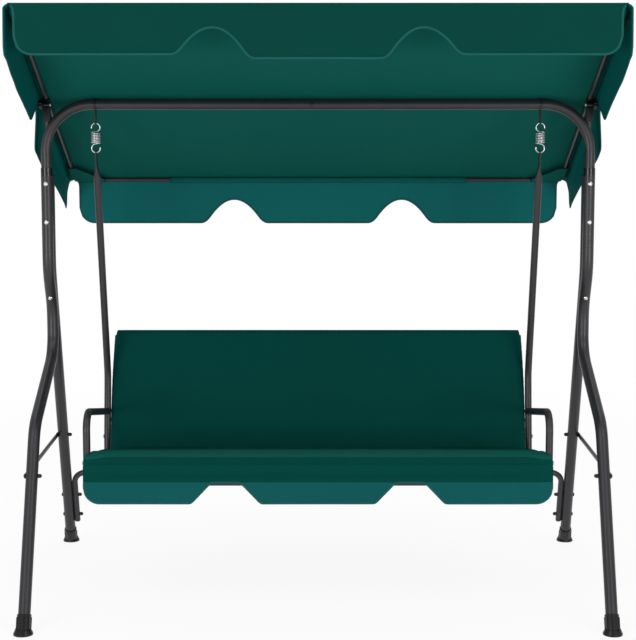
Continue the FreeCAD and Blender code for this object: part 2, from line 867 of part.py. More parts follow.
seat_spacers = [spacer(rear_bolt_spot, arm_path), spacer(front_bolt_spot, armrest_path)]
save("seat_spacers", both_sides(seat_spacers))


# Padded seat

pad_base = seat_radius + fit_gap
seat_slope_angle = math.radians(seat_slope_deg)
back_lean_angle = math.radians(back_lean_deg)
seat_back_dir = V(0, math.cos(seat_slope_angle), -math.sin(seat_slope_angle))
seat_up_dir = V(0, math.sin(seat_slope_angle), math.cos(seat_slope_angle))
back_up_dir = V(0, math.sin(back_lean_angle), math.cos(back_lean_angle))
back_front_dir = V(0, -math.cos(back_lean_angle), math.sin(back_lean_angle))
rear_turn = seat_back_dir.getAngle(back_up_dir)
rear_corner = V(0, seat_rear_y, seat_rear_z)
rear_reach = seat_rear_radius * math.tan(rear_turn / 2)
rear_centre = rear_corner - seat_back_dir * rear_reach + seat_up_dir * seat_rear_radius
seam_turn = math.radians(pad_seam_deg)


def in_rear_bend(x, turn, radius):
    """Point in the bend between seat and back, at an angle from the seat and a distance from its centre."""
    out = seat_back_dir * math.sin(turn) - seat_up_dir * math.cos(turn)
    return V(x, 0, 0) + rear_centre + out * radius


def line(start, end):
    return Part.LineSegment(start, end).toShape()


def arc(start, middle, end):
    return Part.Arc(start, middle, end).toShape()


def seat_outline(x, thick):
    """Side outline of the padded seat: it falls over the front and ends half-way round the rear bend."""
    corner = V(x, seat_front_y, seat_front_z)
    front_turn = math.pi / 2 - seat_slope_angle
    centre = corner + V(0, seat_front_radius, -seat_front_radius * math.tan(front_turn / 2))
    forward = V(0, -1, 0)
    slant = (seat_up_dir + forward).normalize()
    low = V(x, seat_front_y, front_tube_z + pad_hem_rise)
    inner = seat_front_radius + pad_base
    outer = inner + thick
    low_in = low + forward * pad_base
    low_out = low_in + forward * thick
    rear_in = seat_rear_radius - pad_base
    rear_out = rear_in - thick
    end = rear_turn / 2 - seam_turn
    return Part.Wire([
        line(low_in, low_out),
        line(low_out, centre + forward * outer),
        arc(centre + forward * outer, centre + slant * outer, centre + seat_up_dir * outer),
        line(centre + seat_up_dir * outer, in_rear_bend(x, 0, rear_out)),
        arc(*[in_rear_bend(x, turn, rear_out) for turn in (0, end / 2, end)]),
        line(in_rear_bend(x, end, rear_out), in_rear_bend(x, end, rear_in)),
        arc(*[in_rear_bend(x, turn, rear_in) for turn in (end, end / 2, 0)]),
        line(in_rear_bend(x, 0, rear_in), centre + seat_up_dir * inner),
        arc(centre + seat_up_dir * inner, centre + slant * inner, centre + forward * inner),
        line(centre + forward * inner, low_in),
    ])


def pad_stations(half_width):
    """Stations along X with the padding's thickness: thin at the sewn ends, fullest in the middle."""
    inner = half_width - pad_edge_run
    full = pad_mid_thick
    shoulder = (pad_edge_thick + 3 * full) / 4
    return [
        (-half_width, pad_edge_thick),
        (-inner, shoulder),
        (-inner / 2, full),
        (inner / 2, full),
        (inner, shoulder),
        (half_width, pad_edge_thick),
    ]


seat_pad = Part.makeLoft([seat_outline(x, thick) for x, thick in pad_stations(pad_half_width)], True, True)
roll_limit = armrest_front_y - arm_dia / 2 - roll_back_gap
roll_box = Part.makeBox(
    2 * roll_half_width, seat_front_z, 2 * seat_front_z, V(-roll_half_width, roll_limit - seat_front_z, 0))
roll_ends = []
for side in (1, -1):
    sections = [
        seat_outline(side * pad_half_width, pad_edge_thick),
        seat_outline(side * roll_half_width, roll_end_thick),
    ]
    roll_ends.append(Part.makeLoft(sections, True, True).common(roll_box))
seat_pad = seat_pad.fuse(roll_ends)
save("seat_pad", seat_pad)


# Padded back

def back_outline(x, thick):
    """Side outline of the padded back: it starts in the rear bend and hoods the top tube."""
    top = V(0, back_top_y, back_top_z) + back_up_dir * back_hood_rise
    height = top.z - rear_centre.z

    def tapered(point):
        return V(x * (1 + back_taper * (top.z - point.z) / height), point.y, point.z)

    begin = rear_turn / 2 + seam_turn
    middle = (begin + rear_turn) / 2
    rear_in = seat_rear_radius - pad_base
    rear_out = rear_in - thick
    inner = [tapered(in_rear_bend(0, turn, rear_in)) for turn in (begin, middle, rear_turn)]
    outer = [tapered(in_rear_bend(0, turn, rear_out)) for turn in (begin, middle, rear_turn)]
    crest = back_hood_thick
    hood_front = top + back_front_dir * pad_base
    hood_back = top - back_front_dir * pad_base
    shoulder = tapered(hood_front + back_front_dir * thick)
    ridge = [
        tapered(top + back_front_dir * (pad_base + thick / 2) + back_up_dir * crest),
        tapered(hood_back + back_up_dir * crest),
    ]
    rear_top = tapered(hood_back - back_front_dir * crest)
    rear_low = tapered(hood_back - back_front_dir * crest - back_up_dir * back_hood_depth)
    hem = tapered(hood_back - back_up_dir * back_hood_depth)
    return Part.Wire([
        line(inner[0], outer[0]),
        arc(outer[0], outer[1], outer[2]),
        line(outer[2], shoulder),
        line(shoulder, ridge[0]),
        line(ridge[0], ridge[1]),
        line(ridge[1], rear_top),
        line(rear_top, rear_low),
        line(rear_low, hem),
        line(hem, tapered(hood_back)),
        line(tapered(hood_back), tapered(hood_front)),
        line(tapered(hood_front), inner[2]),
        arc(inner[2], inner[1], inner[0]),
    ])


back_sections = [back_outline(x, thick) for x, thick in pad_stations(back_top_half_width)]
back_pad = Part.makeLoft(back_sections, True, True)
save("back_pad", back_pad)


# Seat valance

def valance_outline(y):
    """Front valance of the seat with its rounded ends and two trapezoid cut-outs."""
    top = front_tube_z + pad_hem_rise - seat_gap
    half = roll_half_width
    round_end = valance_end_radius
    edge = math.sqrt(0.5) * round_end
    cut_z = valance_bottom_z + valance_cut_depth

    def spot(x, z):
        return V(x, y, z)

    edges = []
    right_corner = (half - round_end, valance_bottom_z + round_end)
    hem = [spot(half - round_end, valance_bottom_z)]
    for centre in (valance_cut_x, -valance_cut_x):
        hem += [
            spot(centre + valance_cut_low_half, valance_bottom_z),
            spot(centre + valance_cut_top_half, cut_z),
            spot(centre - valance_cut_top_half, cut_z),
            spot(centre - valance_cut_low_half, valance_bottom_z),
        ]
    hem.append(spot(round_end - half, valance_bottom_z))
    edges.append(line(spot(half, top), spot(half, right_corner[1])))
    edges.append(Part.Arc(
        spot(half, right_corner[1]),
        spot(right_corner[0] + edge, right_corner[1] - edge),
        hem[0]).toShape())
    edges += bent_path(hem, [valance_cut_radius] * (len(hem) - 2)).Edges
    edges.append(Part.Arc(
        hem[-1],
        spot(-right_corner[0] - edge, right_corner[1] - edge),
        spot(-half, right_corner[1])).toShape())
    edges.append(Part.LineSegment(spot(-half, right_corner[1]), spot(-half, top)).toShape())
    edges.append(Part.LineSegment(spot(-half, top), spot(half, top)).toShape())
    return Part.Wire(edges)


valance_y = seat_front_y - pad_base - valance_thick
save("seat_valance", Part.Face(valance_outline(valance_y)).extrude(V(0, valance_thick, 0)))


# Canopy frame

tilt = math.radians(canopy_tilt_deg)
canopy_back = V(0, math.cos(tilt), -math.sin(tilt))
canopy_up = V(0, math.sin(tilt), math.cos(tilt))
pivot = V(canopy_x, front_post_y, beam_z)
canopy_radius = canopy_dia / 2


def on_canopy(x, along, up=0.0):
    """Point of the tilted canopy: along its slope from the pivot, and up from the tubes' plane."""
    return V(x, front_post_y, beam_z) + canopy_back * along + canopy_up * (canopy_rise + up)


canopy_joint = canopy_corner_radius + canopy_joint_run
side_tube_ends = (
    on_canopy(canopy_x, canopy_joint + seat_gap - canopy_front_length),
    on_canopy(canopy_x, canopy_rear_length - canopy_joint - seat_gap),
)
canopy_bore = canopy_dia - 2 * canopy_wall
canopy_side = bar(side_tube_ends[0], side_tube_ends[1], canopy_dia).cut(
    bar(side_tube_ends[0], side_tube_ends[1], canopy_bore))
save_pair("canopy_side_tube", canopy_side)


def canopy_end_tube(along, inward):
    """Cross tube at one end of the canopy, with bent ends that meet the side tubes."""
    joint = along + inward * canopy_joint
    path = bent_path(
        [
            on_canopy(-canopy_x, joint),
            on_canopy(-canopy_x, along),
            on_canopy(canopy_x, along),
            on_canopy(canopy_x, joint),
        ],
        [canopy_corner_radius, canopy_corner_radius],
    )
    return tube(path, canopy_dia, canopy_wall)


save("canopy_front_tube", canopy_end_tube(-canopy_front_length, 1))
save("canopy_rear_tube", canopy_end_tube(canopy_rear_length, -1))


# Canopy cloth

cloth_base = canopy_radius + fit_gap
cloth_front = -canopy_front_length - cloth_overhang
cloth_rear = canopy_rear_length + cloth_overhang
cloth_corners = [
    on_canopy(-cloth_half_width, cloth_front, cloth_base),
    on_canopy(cloth_half_width, cloth_front, cloth_base),
    on_canopy(cloth_half_width, cloth_rear, cloth_base),
    on_canopy(-cloth_half_width, cloth_rear, cloth_base),
]
canopy_top = Part.Face(Part.makePolygon(cloth_corners + cloth_corners[:1])).extrude(canopy_up * cloth_thick)
save("canopy_top", canopy_top)


def flap_face(half_length, drops, cuts, cut_half, cut_depth, place, round_end, front_lean=0.0):
    """Scalloped flap: a straight top edge, rounded ends and bell-shaped cut-outs between its lobes.

    drops holds each lobe's depth, and place(along, down) gives a point along the top edge and below it.
    front_lean is how far the first end leans inwards for each unit of its depth.
    """
    bulge = round_end * (1 - math.sqrt(0.5))
    peak = drops[0] - cut_depth

    def straight(start, end):
        return Part.LineSegment(place(*start), place(*end)).toShape()

    def bowed(start, middle, end):
        return Part.Arc(place(*start), place(*middle), place(*end)).toShape()

    def swept(start, end):
        """Two equal arcs that leave and reach their ends level."""
        run = end[0] - start[0]
        fall = end[1] - start[1]
        curve = (run ** 2 + fall ** 2) / (4 * abs(fall))
        turn = math.asin(abs(run) / 2 / curve) / 2
        side = math.copysign(curve * math.sin(turn), run)
        rise = math.copysign(curve * (1 - math.cos(turn)), fall)
        middle = ((start[0] + end[0]) / 2, (start[1] + end[1]) / 2)
        return [
            bowed(start, (start[0] + side, start[1] + rise), middle),
            bowed(middle, (end[0] - side, end[1] - rise), end),
        ]

    first = drops[0]
    last = drops[-1]
    end_foot = -half_length + front_lean * first
    end_top = -half_length + front_lean * (first - round_end)
    edges = [straight((-half_length, 0), (end_top, first - round_end))]
    edges.append(bowed(
        (end_top, first - round_end),
        (end_foot + bulge, first - bulge),
        (end_foot + round_end, first)))
    begin = (end_foot + round_end, first)
    for centre, before, after in zip(cuts, drops[:-1], drops[1:]):
        edges.append(straight(begin, (centre - cut_half, before)))
        edges += swept((centre - cut_half, before), (centre, peak))
        begin = (centre + cut_half, after)
        edges += swept((centre, peak), begin)
    edges.append(straight(begin, (half_length - round_end, last)))
    edges.append(bowed(
        (half_length - round_end, last),
        (half_length - bulge, last - bulge),
        (half_length, last - round_end)))
    edges.append(straight((half_length, last - round_end), (half_length, 0)))
    edges.append(straight((half_length, 0), (-half_length, 0)))
    return Part.Face(Part.Wire(edges))


def end_flap(along, drop, inset):
    """Front or rear flap, hanging from the cloth's edge."""
    edge = on_canopy(0, along, cloth_base)
    half = cloth_half_width - inset
    top_gap = seat_gap + (cloth_thick * math.tan(tilt) if along < 0 else 0)

    def place(x, down):
        return V(x, edge.y, edge.z - top_gap - down)

    drops = (drop, drop + middle_lobe_extra, drop)
    cuts = (-front_cut_x, front_cut_x)
    face = flap_face(half, drops, cuts, front_cut_half, front_cut_depth, place, flap_end_radius)
    inward = 1 if along < 0 else -1
    return face.extrude(V(0, inward * cloth_thick, 0))


save("canopy_front_valance", end_flap(cloth_front, flap_drop, front_flap_inset))
save("canopy_rear_valance", end_flap(cloth_rear, rear_flap_drop, rear_flap_inset))

side_middle = (cloth_rear + cloth_front) / 2
side_half = (cloth_rear - cloth_front) / 2 - side_flap_inset


def place_side(along, down):
    return on_canopy(cloth_half_width, side_middle + along, cloth_base - seat_gap - down)


side_drop = flap_drop * math.cos(tilt)
side_flap = flap_face(
    side_half,
    (side_drop, side_drop),
    (-side_middle,),
    side_cut_half,
    side_cut_depth,
    place_side,
    side_end_radius,
    math.tan(tilt),
)
save_pair("canopy_side_valance", side_flap.extrude(V(-cloth_thick, 0, 0)))


# Canopy brackets and knobs

stub_low_z = beam_z - beam_corner_radius
stub_low = V(canopy_x, front_post_y, stub_low_z)
stub_top = V(canopy_x, front_post_y, stub_top_z)
stub = bar(stub_low, stub_top, stub_dia)
stub = stub.cut(sweep(beam_path, beam_radius + seat_gap))
stub = max(stub.Solids, key=lambda solid: solid.CenterOfMass.z)
save_pair("canopy_stub", stub)

bracket_low = V(canopy_x - bracket_width_x / 2, front_post_y - bracket_width_y / 2, bracket_base_z)
bracket_block = Part.makeBox(bracket_width_x, bracket_width_y, beam_z - bracket_base_z, bracket_low)
bracket_crown = bar(
    V(canopy_x - bracket_width_x / 2, front_post_y, beam_z),
    V(canopy_x + bracket_width_x / 2, front_post_y, beam_z),
    2 * bracket_top_radius)
slot_half = bracket_width_x / 2 - bracket_cheek
slot = Part.makeBox(
    2 * slot_half, 4 * bracket_width_y, 4 * bracket_slot_drop,
    V(canopy_x - slot_half, front_post_y - 2 * bracket_width_y, beam_z - bracket_slot_drop))
bracket = bracket_block.fuse(bracket_crown).removeSplitter().cut(slot)
bracket = bracket.cut(bar(stub_low, stub_top + Z_AXIS * seat_gap, stub_dia + 2 * seat_gap))
bracket = bracket.cut(sweep(beam_path, beam_radius + seat_gap))
bracket = drilled(bracket, pivot, X_AXIS, pivot_bolt_dia + 2 * seat_gap, bracket_width_x)
save_pair("canopy_bracket", bracket)

ear_half = slot_half - fit_gap
clamp_ends = (on_canopy(canopy_x, -clamp_length / 2), on_canopy(canopy_x, clamp_length / 2))
ear_side = X_AXIS * ear_half
ear_corners = [
    pivot - ear_side - canopy_back * clamp_ear_radius,
    pivot - ear_side + canopy_back * clamp_ear_radius,
    on_canopy(canopy_x, clamp_ear_radius) - ear_side,
    on_canopy(canopy_x, -clamp_ear_radius) - ear_side,
]
ear = Part.Face(Part.makePolygon(ear_corners + ear_corners[:1])).extrude(ear_side * 2)
ear_tip = bar(pivot - ear_side, pivot + ear_side, 2 * clamp_ear_radius)
clamp = bar(clamp_ends[0], clamp_ends[1], clamp_dia).fuse([ear, ear_tip])
clamp = clamp.cut(bar(clamp_ends[0], clamp_ends[1], canopy_dia + 2 * seat_gap))
lid_low = on_canopy(canopy_x, -clamp_length, clamp_lip) - X_AXIS * clamp_dia
lid_corners = [
    lid_low,
    lid_low + X_AXIS * 2 * clamp_dia,
    lid_low + X_AXIS * 2 * clamp_dia + canopy_back * 2 * clamp_length,
    lid_low + canopy_back * 2 * clamp_length,
]
lid = Part.Face(Part.makePolygon(lid_corners + lid_corners[:1])).extrude(canopy_up * clamp_dia)
clamp = drilled(clamp.cut(lid), pivot, X_AXIS, pivot_bolt_dia + 2 * fit_gap, clamp_dia)
save_pair("canopy_clamp", clamp)

pivot_head = V(canopy_x - bracket_width_x / 2 - seat_gap, front_post_y, beam_z)
pivot_length = bracket_width_x + knob_bore_depth - fit_gap
pivot_bolt = Part.makeCylinder(pivot_bolt_dia / 2, pivot_length, pivot_head, X_AXIS)
pivot_bolt = pivot_bolt.fuse(bar(pivot_head - X_AXIS * pivot_head_height, pivot_head, pivot_head_dia))
save("canopy_pivot_bolts", both_sides([pivot_bolt]))

knob_face = V(canopy_x + bracket_width_x / 2 + fit_gap, front_post_y, beam_z)
knob_hub = Part.makeCylinder(knob_hub_dia / 2, knob_hub_length, knob_face, X_AXIS)
knob_body = Part.makeCylinder(knob_dia / 2, knob_length, knob_face + X_AXIS * knob_hub_length, X_AXIS)
for index in range(knob_lobes):
    turn = 2 * math.pi * index / knob_lobes
    out = V(0, math.cos(turn), math.sin(turn)) * (knob_dia / 2 + knob_scoop_out)
    knob_body = knob_body.cut(
        Part.makeCylinder(knob_scoop_radius, 2 * knob_length, knob_face + out, X_AXIS))
knob = knob_hub.fuse(knob_body).removeSplitter()
knob_bore = pivot_bolt_dia + 2 * fit_gap
knob = knob.cut(bar(knob_face, knob_face + X_AXIS * knob_bore_depth, knob_bore))
save_pair("tilt_knob", knob)
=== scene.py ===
# %% [markdown]
# # A garden swing bench with a cloth canopy
# The bench hangs by springs from a frame of bent tubes, under a canopy that tilts. Its rigid pieces
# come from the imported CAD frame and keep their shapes. Here they get their finishes, and the cloth,
# the padding and the sewing are modelled around them.

# %% Load the frame
import json
import math

import bmesh
import bpy
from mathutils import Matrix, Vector, noise
from mathutils.bvhtree import BVHTree


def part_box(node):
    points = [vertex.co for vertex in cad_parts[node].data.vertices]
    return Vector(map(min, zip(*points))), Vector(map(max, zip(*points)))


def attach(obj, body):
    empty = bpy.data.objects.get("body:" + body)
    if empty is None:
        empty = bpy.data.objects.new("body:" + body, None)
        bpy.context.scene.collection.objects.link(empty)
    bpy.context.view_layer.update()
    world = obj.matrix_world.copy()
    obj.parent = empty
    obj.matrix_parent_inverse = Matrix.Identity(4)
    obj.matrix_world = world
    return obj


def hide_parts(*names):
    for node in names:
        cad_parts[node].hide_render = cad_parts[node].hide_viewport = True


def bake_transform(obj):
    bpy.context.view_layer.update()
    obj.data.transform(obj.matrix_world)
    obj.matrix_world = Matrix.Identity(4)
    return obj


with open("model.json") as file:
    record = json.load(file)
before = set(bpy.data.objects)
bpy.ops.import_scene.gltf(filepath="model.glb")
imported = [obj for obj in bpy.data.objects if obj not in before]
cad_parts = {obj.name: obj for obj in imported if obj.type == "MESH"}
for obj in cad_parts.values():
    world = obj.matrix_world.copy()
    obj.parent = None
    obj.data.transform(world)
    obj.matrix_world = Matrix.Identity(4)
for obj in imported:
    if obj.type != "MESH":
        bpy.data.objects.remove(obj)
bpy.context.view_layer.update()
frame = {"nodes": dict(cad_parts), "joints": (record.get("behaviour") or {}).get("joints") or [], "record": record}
nodes = frame["nodes"]
joints = {joint["name"]: joint for joint in frame["joints"]}

# %% [markdown]
# ## Measuring the frame
# Cloth is cut to fit the tubes that hold it, so its sizes are read from the CAD nodes. A box along X,
# Y and Z is not enough for the leaning canopy, so a second helper measures a node along any
# direction.

# %% Measuring helpers
def span(node, direction):
    """Lowest and highest reach of a CAD node along a direction, in metres."""
    reach = [vertex.co.dot(direction) for vertex in nodes[node].data.vertices]
    return min(reach), max(reach)


# The tube's box holds its own thickness too, which is taken off again in a few rounds.
tilt_rounds = 6
tube_low, tube_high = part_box("canopy_side_tube_left")
canopy_tube_dia = tube_high.x - tube_low.x
tube_run = tube_high - tube_low
tilt = math.atan2(tube_run.z, tube_run.y)
for _ in range(tilt_rounds):
    axis_rise = tube_run.z - canopy_tube_dia * math.cos(tilt)
    axis_run = tube_run.y - canopy_tube_dia * math.sin(tilt)
    tilt = math.atan2(axis_rise, axis_run)
slope = Vector((0, math.cos(tilt), -math.sin(tilt)))
lift = Vector((0, math.sin(tilt), math.cos(tilt)))
pivot = Vector(joints["canopy_tilt"]["pos_m"])
print("canopy tilt %.2f degrees" % math.degrees(tilt))


# %% [markdown]
# ## Shared ways of building
# A sheet starts as a flat grid whose columns run along the cloth and whose rows run across it. Each
# vertex is then moved to its place on the real cloth. The same function makes the bindings, because a
# binding is a narrow sheet that follows the same hem. The grid also writes a UV map in metres, so a
# weave can follow the cloth round its folds.

# %% Object and grid helpers
def new_object(name, bm):
    """Smooth object made from a bmesh, which is then freed."""
    mesh = bpy.data.meshes.new(name)
    bm.to_mesh(mesh)
    bm.free()
    for polygon in mesh.polygons:
        polygon.use_smooth = True
    piece = bpy.data.objects.new(name, mesh)
    bpy.context.scene.collection.objects.link(piece)
    return piece


def woven_grid(name, columns, rows, place):
    """Sheet of cloth: place(column, row) gives the point and its cloth coordinates in metres."""
    grid_half = 0.5
    last_column = len(columns) - 1
    last_row = len(rows) - 1
    bm = bmesh.new()
    bmesh.ops.create_grid(bm, x_segments=last_column, y_segments=last_row, size=grid_half)
    cloth_map = bm.loops.layers.uv.new("cloth")
    flat = {}
    for vertex in bm.verts:
        column = columns[round((vertex.co.x + grid_half) * last_column)]
        row = rows[round((vertex.co.y + grid_half) * last_row)]
        vertex.co, flat[vertex] = place(column, row)
    for face in bm.faces:
        for loop in face.loops:
            loop[cloth_map].uv = flat[loop.vert]
    return new_object(name, bm)


# %% Helpers for steps, thickness and smooth changes
def steps(keys, longest):
    """Positions from the first key to the last, through every key, with no step over the longest."""
    positions = [keys[0]]
    for start, end in zip(keys[:-1], keys[1:]):
        count = max(1, math.ceil(abs(end - start) / longest))
        positions += [start + (end - start) * (index + 1) / count for index in range(count)]
    return positions


def thicken(piece, thickness):
    """Give a sheet its thickness, half of it on each side."""
    wall = piece.modifiers.new("cloth thickness", "SOLIDIFY")
    wall.thickness = thickness
    wall.offset = 0.0


def ripple(*where):
    """Slow ripple between -1 and 1. A last coordinate of its own gives each use a different ripple."""
    return noise.noise(Vector(where))


def ease(value):
    """Smooth step from 0 to 1."""
    value = min(max(value, 0.0), 1.0)
    return value * value * (3 - 2 * value)


def ramp(value, start, run):
    """Smooth step from 0 at the start to 1 after the run."""
    return ease((value - start) / run)


def blend_points(start, end, share):
    return tuple(first + (second - first) * share for first, second in zip(start, end))


# %% [markdown]
# ## Finishes
# Every finish is made of shader nodes. The yarn of the cloth, the fine skin of powder coating and the
# grain of moulded plastic are used by several materials, so yarn and skin are node groups with their
# own inputs. Pictures could give the same detail, but nodes stay sharp at any distance.

# %% Node helpers
def group_with(name, inputs, outputs):
    """Empty node group with its sockets, and its two end nodes."""
    group = bpy.data.node_groups.new(name, "ShaderNodeTree")
    for socket_name, kind, value in inputs:
        socket = group.interface.new_socket(socket_name, in_out="INPUT", socket_type=kind)
        if value is not None:
            socket.default_value = value
    for socket_name, kind in outputs:
        group.interface.new_socket(socket_name, in_out="OUTPUT", socket_type=kind)
    return group, group.nodes.new("NodeGroupInput"), group.nodes.new("NodeGroupOutput")


def add_node(tree, kind, **settings):
    node = tree.nodes.new(kind)
    for name, value in settings.items():
        setattr(node, name, value)
    return node


def math_node(tree, operation, first, second):
    """Result of one sum. Each side is a number or another node's output."""
    node = add_node(tree, "ShaderNodeMath", operation=operation)
    for socket, value in zip(node.inputs, (first, second)):
        if isinstance(value, (int, float)):
            socket.default_value = value
        elif value is not None:
            tree.links.new(value, socket)
    return node.outputs[0]


noise_mean = 0.5


def noise_node(tree, scale, detail):
    texture = add_node(tree, "ShaderNodeTexNoise")
    texture.inputs["Scale"].default_value = scale
    texture.inputs["Detail"].default_value = detail
    return texture


# %% Node group: yarn
def yarn_group():
    """Plain weave: crossing threads as a height, and patches of lighter and darker yarn as a shade."""
    group, entry, leave = group_with(
        "yarn",
        [("Vector", "NodeSocketVector", None), ("Threads per metre", "NodeSocketFloat", 900.0),
         ("Fading", "NodeSocketFloat", 0.12), ("Slubs", "NodeSocketFloat", 0.10)],
        [("Height", "NodeSocketFloat"), ("Shade", "NodeSocketFloat")])
    split = add_node(group, "ShaderNodeSeparateXYZ")
    group.links.new(entry.outputs["Vector"], split.inputs[0])
    turns = math_node(group, "MULTIPLY", entry.outputs["Threads per metre"], math.pi)
    along = math_node(group, "SINE", math_node(group, "MULTIPLY", split.outputs[0], turns), None)
    leaning = math_node(group, "SUBTRACT", split.outputs[1], split.outputs[2])
    across = math_node(group, "SINE", math_node(group, "MULTIPLY", leaning, turns), None)
    crossing = math_node(group, "MULTIPLY", along, across)
    group.links.new(math_node(group, "ADD", crossing, 1.0), leave.inputs["Height"])
    fading = noise_node(group, scale=2.6, detail=3.0)
    slubs = noise_node(group, scale=160.0, detail=2.0)
    for texture in (fading, slubs):
        group.links.new(entry.outputs["Vector"], texture.inputs["Vector"])
    far = math_node(group, "SUBTRACT", fading.outputs["Fac"], noise_mean)
    far = math_node(group, "MULTIPLY", far, entry.outputs["Fading"])
    near = math_node(group, "SUBTRACT", slubs.outputs["Fac"], noise_mean)
    near = math_node(group, "MULTIPLY", near, entry.outputs["Slubs"])
    both = math_node(group, "ADD", far, near)
    group.links.new(math_node(group, "ADD", both, 1.0), leave.inputs["Shade"])
    return group


yarn = yarn_group()
print("node group:", yarn.name)

# %% Node group: surface skin
skin_shade_change = 0.35


def skin_group():
    """Fine uneven skin of a coated or moulded surface: a height, an uneven roughness and a shade."""
    group, entry, leave = group_with(
        "surface skin",
        [("Grain per metre", "NodeSocketFloat", 900.0), ("Base roughness", "NodeSocketFloat", 0.4),
         ("Roughness change", "NodeSocketFloat", 0.1)],
        [("Height", "NodeSocketFloat"), ("Roughness", "NodeSocketFloat"), ("Shade", "NodeSocketFloat")])
    place = add_node(group, "ShaderNodeTexCoord")
    grain = add_node(group, "ShaderNodeTexNoise")
    group.links.new(place.outputs["Object"], grain.inputs["Vector"])
    group.links.new(entry.outputs["Grain per metre"], grain.inputs["Scale"])
    group.links.new(grain.outputs["Fac"], leave.inputs["Height"])
    smears = noise_node(group, scale=9.0, detail=5.0)
    group.links.new(place.outputs["Object"], smears.inputs["Vector"])
    drift = math_node(group, "SUBTRACT", smears.outputs["Fac"], noise_mean)
    change = math_node(group, "MULTIPLY", drift, entry.outputs["Roughness change"])
    roughness = math_node(group, "ADD", entry.outputs["Base roughness"], change)
    group.links.new(roughness, leave.inputs["Roughness"])
    shade = math_node(group, "MULTIPLY", drift, skin_shade_change)
    group.links.new(math_node(group, "ADD", shade, 1.0), leave.inputs["Shade"])
    return group


skin = skin_group()
print("node group:", skin.name)


# %% Material helpers
def shaded(tree, color, shade):
    """Colour multiplied by a shade that changes over the surface."""
    mix = add_node(tree, "ShaderNodeMix", data_type="RGBA", blend_type="MULTIPLY")
    mix.inputs["Factor"].default_value = 1.0
    if isinstance(color, tuple):
        mix.inputs["A"].default_value = (*color, 1.0)
    else:
        tree.links.new(color, mix.inputs["A"])
    tree.links.new(shade, mix.inputs["B"])
    return mix.outputs["Result"]


def two_tone(tree, stored, below, above):
    """Colour that changes where a value stored on the mesh passes zero."""
    blur = 0.001
    height = add_node(tree, "ShaderNodeAttribute", attribute_name=stored)
    edge = add_node(tree, "ShaderNodeMapRange")
    edge.inputs["From Min"].default_value = -blur
    edge.inputs["From Max"].default_value = blur
    tree.links.new(height.outputs["Fac"], edge.inputs["Value"])
    mix = add_node(tree, "ShaderNodeMix", data_type="RGBA")
    tree.links.new(edge.outputs["Result"], mix.inputs["Factor"])
    mix.inputs["A"].default_value = (*below, 1.0)
    mix.inputs["B"].default_value = (*above, 1.0)
    return mix.outputs["Result"]


def new_material(name):
    material = bpy.data.materials.new(name)
    material.use_nodes = True
    tree = material.node_tree
    return material, tree, tree.nodes["Principled BSDF"]


def bumped(tree, shader, height, strength, distance):
    bump = add_node(tree, "ShaderNodeBump")
    bump.inputs["Strength"].default_value = strength
    bump.inputs["Distance"].default_value = distance
    tree.links.new(height, bump.inputs["Height"])
    tree.links.new(bump.outputs["Normal"], shader.inputs["Normal"])


# %% Cloth and coating
thread_height = 0.0003
cloth_roughness = 0.82
cloth_shine = 0.03
grain_height = 0.0002


def cloth(name, color, threads, coordinate, strength=0.25, band=None):
    """Woven cloth. A band names a value stored on the mesh and a colour for where it is above zero."""
    material, tree, shader = new_material(name)
    if band:
        color = two_tone(tree, band[0], color, band[1])
    place = add_node(tree, "ShaderNodeTexCoord")
    weave = add_node(tree, "ShaderNodeGroup", node_tree=yarn)
    weave.inputs["Threads per metre"].default_value = threads
    tree.links.new(place.outputs[coordinate], weave.inputs["Vector"])
    tree.links.new(shaded(tree, color, weave.outputs["Shade"]), shader.inputs["Base Color"])
    bumped(tree, shader, weave.outputs["Height"], strength, thread_height)
    shader.inputs["Roughness"].default_value = cloth_roughness
    shader.inputs["Specular IOR Level"].default_value = cloth_shine
    return material


def coated(name, color, roughness, grain, metallic=0.0, strength=0.12, change=0.12, shine=0.5):
    """Painted, plated or moulded surface with a fine uneven skin."""
    material, tree, shader = new_material(name)
    surface = add_node(tree, "ShaderNodeGroup", node_tree=skin)
    surface.inputs["Grain per metre"].default_value = grain
    surface.inputs["Base roughness"].default_value = roughness
    surface.inputs["Roughness change"].default_value = change
    tree.links.new(shaded(tree, color, surface.outputs["Shade"]), shader.inputs["Base Color"])
    tree.links.new(surface.outputs["Roughness"], shader.inputs["Roughness"])
    bumped(tree, shader, surface.outputs["Height"], strength, grain_height)
    shader.inputs["Metallic"].default_value = metallic
    shader.inputs["Specular IOR Level"].default_value = shine
    return material


# %% The finishes of the bench
tube_grey = (0.0190, 0.0180, 0.0210)
plating_grey = (0.62, 0.63, 0.63)
bolt_black = (0.012, 0.012, 0.013)
moulding_black = (0.0030, 0.0030, 0.0036)
powder_coat = coated("grey powder coat", tube_grey, roughness=0.36, grain=1400.0, shine=0.42)
zinc_plate = coated("zinc plate", plating_grey, roughness=0.30, grain=600.0, metallic=1.0, change=0.25)
black_oxide = coated("black oxide", bolt_black, roughness=0.38, grain=900.0, shine=0.30)
black_moulding = coated("black moulding", moulding_black, roughness=0.20, grain=2200.0,
                        strength=0.1, shine=0.45)

canopy_threads = 900.0
tape_threads = 1400.0
canopy_cloth = cloth("canopy cloth", (0.0036, 0.084, 0.070), canopy_threads, "UV")
# The front flap's cloth is the canopy cloth painted darker: painted shade.
front_flap_shaded_cloth = cloth("front flap cloth in painted shade", (0.0018, 0.043, 0.0355), canopy_threads, "UV")
# The rear flap's cloth is the canopy cloth painted lighter: painted light, for light coming through it from
# behind.
rear_flap_lit_cloth = cloth("rear flap cloth in painted light", (0.0064, 0.120, 0.119), canopy_threads, "UV")
